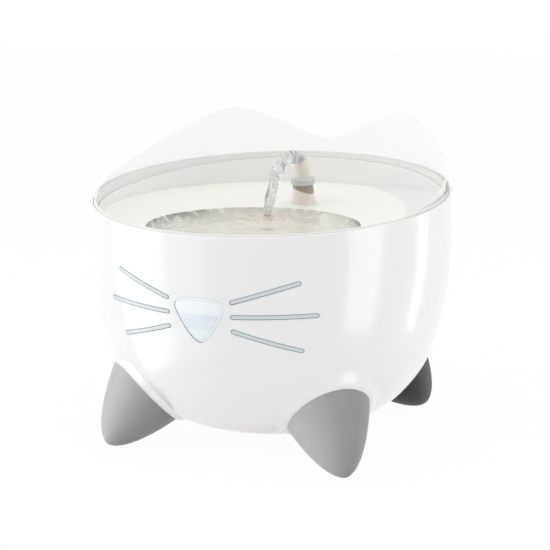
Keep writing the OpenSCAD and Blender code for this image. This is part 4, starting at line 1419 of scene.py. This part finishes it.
@dataclass
class CatFace:
    """The nose window and the whisker windows in the bowl's front wall."""

    form: BowlForm = field(default_factory=BowlForm)
    rim: RimPlane = field(default_factory=RimPlane)
    nose_half_w: float = 15.8
    nose_z: float = 85.5
    nose_wide: float = 21.0
    nose_cap: float = 7.5
    nose_steps: int = 18
    level_power: float = 1.7
    flank_power: float = 0.6
    cap_power: float = 0.8
    # Way towards which the windows' outline carries painted shade.
    shade_side: tuple[float, float] = (-0.85, -0.53)
    whisker_w: float = 3.0
    whiskers: tuple[tuple[float, float, float, float], ...] = (
        (20.8, 112.2, 57.6, 124.0), (20.8, 103.2, 66.4, 104.2), (20.8, 94.2, 57.6, 82.4))
    plate: tuple[tuple[float, float], ...] = (
        (19.8, 116.2), (49.6, 124.0), (61.6, 112.2), (70.4, 103.2), (61.6, 78.4), (19.8, 90.2))
    wall: float = 3.0
    plate_t: float = 1.6
    plate_room: tuple[tuple[float, float], ...] = (
        (0, -26.2), (111.5, -26.2), (125, -33.4), (125, 60), (0, 60))
    bar_rings: tuple[tuple[float, float], ...] = (
        (0.0, 0.1), (0.25, -0.25), (0.6, -0.38), (1.0, -0.4), (1.44, -0.4))
    nose_edge: tuple[tuple[float, float], ...] = ((-0.35, -0.25), (-0.9, -0.38))
    nose_shares: tuple[float, ...] = (0.82, 0.62, 0.42, 0.22, 0.05)
    nose_drop: float = 4.0
    nose_raise: float = 0.4
    nose_dome: float = 0.35
    front: Span = (-140.0, -60.0)
    fit: float = 0.05

    def nose_loop(self, grow: float = 0.0) -> Profile:
        """Returns the nose's outline from the front.

        Args:
            grow: How far it is grown.

        Returns:
            Sideways place and height of each point, all round.
        """
        count = self.nose_steps
        levels = [self.nose_wide * (k / count) ** self.level_power for k in range(count)]
        side = [(self.nose_half_w * (z / self.nose_wide) ** self.flank_power, z) for z in levels]
        for k in range(count):
            share = math.sin(math.pi / 2 * k / count) ** self.cap_power
            width = self.nose_half_w * math.sqrt(1 - share ** 4)
            side.append((width, self.nose_wide + share * self.nose_cap))
        side.append((0.0, self.nose_wide + self.nose_cap))
        ring = side + [(-x, z) for x, z in side[-2:0:-1]]
        factor = (self.nose_half_w + grow) / self.nose_half_w
        return [(x * factor, self.nose_z + self.nose_wide + (z - self.nose_wide) * factor) for x, z in ring]

    @staticmethod
    def bar_loop(ends: Sequence[float], half: float, mirror: int = 1) -> Profile:
        """Returns the outline of a bar with round ends.

        Args:
            ends: Sideways place and height of both ends.
            half: Half of its width.
            mirror: -1 puts it on the other side.

        Returns:
            The points, all round.
        """
        start, end = Vector(ends[:2]), Vector(ends[2:])
        along = (end - start).normalized()
        across = Vector((-along.y, along.x))
        points: list[Vector] = []
        for origin, goal, way in ((start, end, -1), (end, start, 1)):
            points += [origin.lerp(goal, k / 12) + across * half * way for k in range(12)]
            cap = [math.radians(-90 + 180 * k / 8) for k in range(8)]
            forward = along * -way
            points += [goal + (forward * math.cos(a) - across * way * math.sin(a)) * half for a in cap]
        return [(p.x * mirror, p.y) for p in points]

    def opening_tool(self) -> bpy.types.Object:
        """Returns the cut through the front wall for all windows.

        Returns:
            The cutting tool.
        """
        work = prism(self.nose_loop(), *self.front)
        for ends in self.whiskers:
            for mirror in (1, -1):
                join(work, prism(self.bar_loop(ends, self.whisker_w / 2, mirror), *self.front))
        return tool_from(work)

    def build(self) -> list[bpy.types.Object]:
        """Builds the nose and both sets of whiskers and returns them.

        Returns:
            The nose and the two sets of whiskers.
        """
        nose = self.shell("nose_face", [self.nose_rings()], NOSE_BLUE)
        self.mark(nose, [self.nose_loop()], 0.05)
        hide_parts("nose_window")
        pieces = [nose]
        for side, mirror in (("left", -1), ("right", 1)):
            rings = [[(self.bar_loop(ends, self.whisker_w / 2 - self.fit - step, mirror), depth)
                      for step, depth in ((0.0, self.wall + self.plate_t / 2), *self.bar_rings)]
                     for ends in self.whiskers]
            bars = self.shell("whisker_bars_" + side, rings, WHISKER_TEAL, self.plate_solid(mirror))
            self.mark(bars, [self.bar_loop(ends, self.whisker_w / 2, mirror) for ends in self.whiskers], 0.5)
            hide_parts("whisker_window_" + side)
            pieces.append(bars)
        for piece in pieces:
            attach(piece, Body.BASE.value)
        return pieces

    def nose_rings(self) -> list[tuple[Profile, float]]:
        """Returns the nose's outlines from its back to its middle, with how deep each lies.

        Returns:
            The outlines and depths.
        """
        back = ((-self.fit, self.wall + self.plate_t), (-self.fit, 0.15))
        rings = [(self.nose_loop(grow), depth) for grow, depth in (*back, *self.nose_edge)]
        centre_z = self.nose_z + self.nose_wide - self.nose_drop
        for share in self.nose_shares:
            loop = [(x * share, centre_z + (z - centre_z) * share) for x, z in rings[len(back) + 1][0]]
            rings.append((loop, -self.nose_raise - self.nose_dome * (1 - share * share)))
        return rings

    def shell(self, name: str, parts: list[list[tuple[Profile, float]]], finish: Finish,
              plate: Optional[bmesh.types.BMesh] = None) -> bpy.types.Object:
        """Builds a closed window piece from rings that lie along the bowl.

        Args:
            name: The piece's name.
            parts: For each part, outlines from back to front with their depth inside the bowl's form.
            finish: Its finish.
            plate: A plate behind it.

        Returns:
            The piece.
        """
        work = plate or bmesh.new()
        for rings in parts:
            loops = [[work.verts.new(self.on_bowl(x, z, depth)) for x, z in loop] for loop, depth in rings]
            edges = [[work.edges.new((loop[i - 1], loop[i])) for i in range(len(loop))] for loop in loops]
            for below, above in zip(edges, edges[1:]):
                bmesh.ops.bridge_loops(work, edges=below + above)
            bmesh.ops.contextual_create(work, geom=edges[0])
            bmesh.ops.contextual_create(work, geom=edges[-1])
        bmesh.ops.recalc_face_normals(work, faces=work.faces)
        return to_object(name, work, finish, 40.0)

    def on_bowl(self, x: float, z: float, depth: float) -> Vector:
        """Returns the point of the bowl's front at a place seen from the front."""
        return Vector((x, -math.sqrt(self.form.radius_at(z, depth) ** 2 - x * x), z))

    def mark(self, obj: bpy.types.Object, outlines: list[Profile], least: float) -> None:
        """Marks each point's distance from the outline, and how dark the outline's painted shade is there,
        for the finish.

        Args:
            obj: The piece.
            outlines: The outlines of its windows.
            least: How dark the outline is on the upper right side, 0 to 1.
        """
        near = obj.data.attributes.new("near", "FLOAT", "POINT")
        shade = obj.data.attributes.new("shade", "FLOAT", "POINT")
        spans = []
        for loop in outlines:
            middle = sum((Vector(point) for point in loop), Vector((0.0, 0.0))) / len(loop)
            spans += [(Vector(loop[i - 1]), Vector(loop[i]), middle) for i in range(len(loop))]
        for index, vert in enumerate(obj.data.vertices):
            point = Vector((vert.co.x, vert.co.z)) / MM
            start, end, middle = min(spans, key=lambda span: distance_to_span(point, span[0], span[1]))
            near.data[index].value = distance_to_span(point, start, end)
            across = Vector((start.y - end.y, end.x - start.x)).normalized()
            outward = across if across.dot((start + end) / 2 - middle) > 0 else -across
            # Painted shade: the outline is darker where it faces the lower left.
            shade_share = max(0.0, outward.dot(Vector(self.shade_side)))
            shade.data[index].value = least + (1 - least) * shade_share ** 0.7

    def plate_solid(self, mirror: int) -> bmesh.types.BMesh:
        """Returns the clear plate that carries the whiskers behind the wall.

        Args:
            mirror: -1 puts it on the left.

        Returns:
            The plate.
        """
        plate = tool_from(prism([(x * mirror, z) for x, z in self.plate], -140.0, -20.0))
        cut(plate, [tool_from(self.form.solid(self.wall + self.fit))], "INTERSECT")
        cut(plate, [tool_from(self.form.solid(self.wall + self.plate_t))])
        over = moved(turned(list(self.plate_room), TURN_STEPS), self.rim.seat())
        cut(plate, [tool_from(over)])
        work = bmesh.new()
        work.from_mesh(plate.data)
        bmesh.ops.scale(work, vec=(1 / MM, 1 / MM, 1 / MM), verts=work.verts)
        bpy.data.objects.remove(plate)
        return work


@dataclass
class Legs:
    """The four cone legs and their rubber tips."""

    form: LegForm = field(default_factory=LegForm)
    bowl: BowlForm = field(default_factory=BowlForm)
    collar: float = 2.2
    tip_len: float = 5.0
    names: tuple[str, ...] = ("leg_front_right", "leg_rear_right", "leg_rear_left", "leg_front_left")

    def build(self) -> list[bpy.types.Object]:
        """Builds the legs and returns them.

        Returns:
            The legs and the tips.
        """
        pieces = []
        for name, turn in zip(self.names, self.form.turns):
            leg = to_object(name.replace("leg_", "cone_"), self.part(turn, tip=False), CAD_FINISHES[name])
            cut(leg, [tool_from(self.bowl.solid(-self.collar - 0.02))])
            smooth_by_angle(leg, 30.0)
            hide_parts(name)
            pieces.append(leg)
        tips = bmesh.new()
        for turn in self.form.turns:
            join(tips, self.part(turn, tip=True))
        tip = to_object("rubber_feet", tips, TIP_RUBBER)
        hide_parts("leg_tips")
        pieces.append(tip)
        for piece in pieces:
            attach(piece, Body.BASE.value)
        return pieces

    def part(self, turn: float, tip: bool) -> bmesh.types.BMesh:
        """Returns the part of a leg above or below the seam of its rubber tip, flat at the floor.

        Args:
            turn: The leg's angle from the front.
            tip: Whether it is the tip.

        Returns:
            The closed part.
        """
        work = self.form.solid(turn)
        matrix = self.form.frame(turn)
        past = Vector((0, 0, 1 if tip else -1))
        slice_off(work, matrix @ Vector((0, 0, self.tip_len)), matrix.to_3x3() @ past)
        slice_off(work, Vector((0, 0, 0)), Vector((0, 0, -1)))
        return work


@dataclass
class Guard:
    """The splash guard: a thin ring that rises into two ears at the back."""

    rim: RimPlane = field(default_factory=RimPlane)
    outer_r: float = 116.2
    wall: float = 2.2
    foot_h: float = -23.7
    knots: tuple[tuple[float, float], ...] = (
        (0, 13.4), (9, 18.7), (20, 29.1), (35, 37.5), (47, 31.3), (60, 22.5), (76, 13.3), (92, 7.2),
        (106, 2.8), (118, 0.8), (180, 0.8))
    level: tuple[int, ...] = (0, 3, 9, 10)
    risers: int = 14

    def slope(self, index: int) -> float:
        """Returns the edge's slope at a knot.

        Args:
            index: The knot's number.

        Returns:
            The slope, in millimetres for each degree.
        """
        if index in self.level:
            return 0.0
        before, after = self.knots[index - 1], self.knots[index + 1]
        return (after[1] - before[1]) / (after[0] - before[0])

    def edge_height(self, angle: float) -> float:
        """Returns the height of the guard's edge over the rim plane.

        Args:
            angle: Angle from the back, 0 to 180.

        Returns:
            The height.
        """
        index = max(k for k in range(len(self.knots) - 1) if self.knots[k][0] <= angle)
        (a0, h0), (a1, h1) = self.knots[index], self.knots[index + 1]
        width = a1 - a0
        t = (angle - a0) / width
        return ((2 * t ** 3 - 3 * t ** 2 + 1) * h0 + (t ** 3 - 2 * t ** 2 + t) * width * self.slope(index)
                + (-2 * t ** 3 + 3 * t ** 2) * h1 + (t ** 3 - t ** 2) * width * self.slope(index + 1))

    def build(self) -> bpy.types.Object:
        """Builds the guard and returns it.

        Returns:
            The guard.
        """
        half = self.wall / 2
        middle = self.outer_r - half
        risers = [k / self.risers for k in range(self.risers + 1)]
        outer = [(self.outer_r, self.foot_h * (1 - share)) for share in risers]
        inner = [(self.outer_r - self.wall, self.foot_h * (1 - share)) for share in reversed(risers)]
        crown = arc((middle, 0.0), half, 0, 180, 8)[1:-1]
        work = turned(outer + crown + inner, FINE_STEPS)
        for vert in work.verts:
            angle = abs(math.degrees(math.atan2(vert.co.x, vert.co.y)))
            top = self.edge_height(min(angle, 180.0)) - half
            share = min(1.0, (vert.co.z - self.foot_h) / -self.foot_h)
            vert.co.z = self.foot_h + share * (top - self.foot_h) + max(0.0, vert.co.z)
        guard = to_object("eared_guard", moved(work, self.rim.seat()), GUARD_MILKY, 50.0)
        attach(guard, Body.GUARD.value)
        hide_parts("splash_guard")
        return guard


@dataclass
class Water:
    """The water in the pool and the stream that falls into it."""

    pool_centre: tuple[float, float] = (-1.0, -29.5)
    pool_r: float = 69.0
    surface_z: float = 142.4
    floor_z: float = 133.6
    splash: tuple[float, float] = (-4.0, 3.0)
    mouth: tuple[float, float, float] = (3.3, 43.8, 176.1)
    velocity: tuple[float, float, float] = (-102.0, -560.0, 235.0)
    gravity: float = 9810.0
    drag: float = 0.12
    ring_pitch: float = 10.5
    ring_fade: float = 30.0
    ring_h: float = 0.3
    mound_r: float = 4.2
    dip_r: float = 7.5
    dip_w: float = 3.0
    dip_h: float = 0.5
    chops: tuple[tuple[float, float, float, float], ...] = ((0.07, 0.1, 1.7, 0.3), (0.2, 0.24, 4.2, 0.12))
    fit: float = 0.3
    surface_rings: int = 70
    stream_steps: int = 60
    stream_sides: int = 28
    stream_w: float = 4.3
    stream_end: float = 1.5
    thinning: Span = (0.9, 1.6)
    spread: tuple[float, float, float] = (0.6, 0.85, 0.15)

    def build(self) -> list[bpy.types.Object]:
        """Builds the pool's water and the stream and returns them.

        Returns:
            The pool's water and the stream.
        """
        pool = self.pool()
        stream = self.stream()
        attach(pool, Body.TRAY.value)
        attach(stream, Body.SPOUT.value)
        return [pool, stream]

    def ripple(self, x: float, y: float) -> float:
        """Returns the height of the ripples at a point of the surface.

        Args:
            x: Sideways place.
            y: Place towards the back.

        Returns:
            The height over still water.
        """
        reach = math.hypot(x - self.splash[0], y - self.splash[1])
        ring = math.sin(reach * 2 * math.pi / self.ring_pitch) * math.exp(-reach / self.ring_fade)
        dip = self.dip_h * math.exp(-(((reach - self.dip_r) / self.dip_w) ** 2))
        mound = math.exp(-((reach / self.mound_r) ** 2)) - dip
        chop = sum(noise.noise(Vector((x * wide, y * deep, seed))) * high
                   for wide, deep, seed, high in self.chops)
        return ring * self.ring_h + mound + chop * min(1.0, reach / 25.0)

    def pool(self) -> bpy.types.Object:
        """Builds the water in the pool and returns it.

        Returns:
            The pool's water.
        """
        depth = self.surface_z - self.floor_z
        edge_low, edge = self.pool_r - 5 - self.fit, self.pool_r - self.fit
        count = self.surface_rings
        profile = [(0.0, self.floor_z), (edge_low, self.floor_z), (edge, self.surface_z)]
        profile += [(edge * (1 - k / count), self.surface_z) for k in range(1, count + 1)]
        work = moved(turned(profile, 240), Matrix.Translation((*self.pool_centre, 0.0)))
        middle_x, middle_y = self.pool_centre
        for vert in work.verts:
            if vert.co.z > self.floor_z + depth * 0.9:
                from_edge = self.pool_r - math.hypot(vert.co.x - middle_x, vert.co.y - middle_y)
                calm = min(1.0, max(0.0, from_edge - self.fit) / 3.0)
                vert.co.z += self.ripple(vert.co.x, vert.co.y) * calm
        return to_object("pool_water", work, POOL_WATER, 60.0)

    def stream(self) -> bpy.types.Object:
        """Builds the stream from the spout's mouth into the pool and returns it.

        Returns:
            The stream.
        """
        start = Vector(self.mouth)
        velocity = Vector(self.velocity)
        fall = Vector((0, 0, -self.gravity))
        drop = self.mouth[2] - self.surface_z + self.stream_end
        time = (velocity.z + math.sqrt(velocity.z ** 2 + 2 * self.gravity * drop)) / self.gravity
        thinner, pace = self.thinning
        wider, place, length = self.spread
        work = bmesh.new()
        ring = None
        for step in range(self.stream_steps + 1):
            moment = time * step / self.stream_steps
            slowed = self.drag * (1 - math.exp(-moment / self.drag))
            centre = start + Vector((velocity.x * slowed, velocity.y * slowed, velocity.z * moment))
            centre += fall * (0.5 * moment * moment)
            heading = (velocity + fall * moment).normalized()
            side = heading.cross(Vector((1, 0, 0))).normalized()
            other = heading.cross(side)
            share = step / self.stream_steps
            width = self.stream_w - thinner * min(1.0, share * pace)
            width += wider * max(0.0, share - place) / length
            verts = []
            for k in range(self.stream_sides):
                angle = 2 * math.pi * k / self.stream_sides
                across = side * math.cos(angle) + other * math.sin(angle)
                verts.append(work.verts.new(centre + across * width * self.swell(angle, share)))
            edges = [work.edges.new((verts[i - 1], verts[i])) for i in range(self.stream_sides)]
            if ring is None:
                bmesh.ops.contextual_create(work, geom=edges)
            else:
                bmesh.ops.bridge_loops(work, edges=ring + edges)
            ring = edges
        bmesh.ops.contextual_create(work, geom=ring)
        bmesh.ops.recalc_face_normals(work, faces=work.faces)
        return to_object("water_stream", work, STREAM_WATER, 80.0)

    @staticmethod
    def swell(angle: float, share: float) -> float:
        """Returns how wide the stream is at a point of its skin, next to its usual width.

        Args:
            angle: Angle round the stream.
            share: Place along the stream, 0 to 1.

        Returns:
            The width's factor.
        """
        wave = 1 + 0.16 * math.sin(2 * angle + share * 9)
        wave += 0.08 * math.sin(3 * angle - share * 17 + 1.0)
        return wave + (0.10 * math.sin(share * 23 + 0.6) + 0.05 * math.sin(share * 61))


def keep_inside(obj: bpy.types.Object) -> None:
    """Keeps a piece's points inside the box of the solids.

    Args:
        obj: The piece.
    """
    low, high = CAD_BOX
    for vert in obj.data.vertices:
        vert.co = [min(max(value, low[i]), high[i]) for i, value in enumerate(vert.co)]


def dress_frame() -> None:
    """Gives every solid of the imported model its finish."""
    for name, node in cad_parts.items():
        material = CAD_FINISHES[name].material()
        for slot in node.material_slots:
            slot.material = material
    LOG.info("dressed %d solids", len(CAD_FINISHES))


def main() -> None:
    """Builds the scene."""
    logging.basicConfig(level=logging.INFO, format="%(name)s: %(message)s")
    dress_frame()
    Studio().build()
    pieces = [Bowl().build(), *CatFace().build(), *Legs().build(), Guard().build(), *Water().build()]
    for piece in pieces:
        keep_inside(piece)
        LOG.info("built %s with %d faces", piece.name, len(piece.data.polygons))


if __name__ == "__main__":
    main()
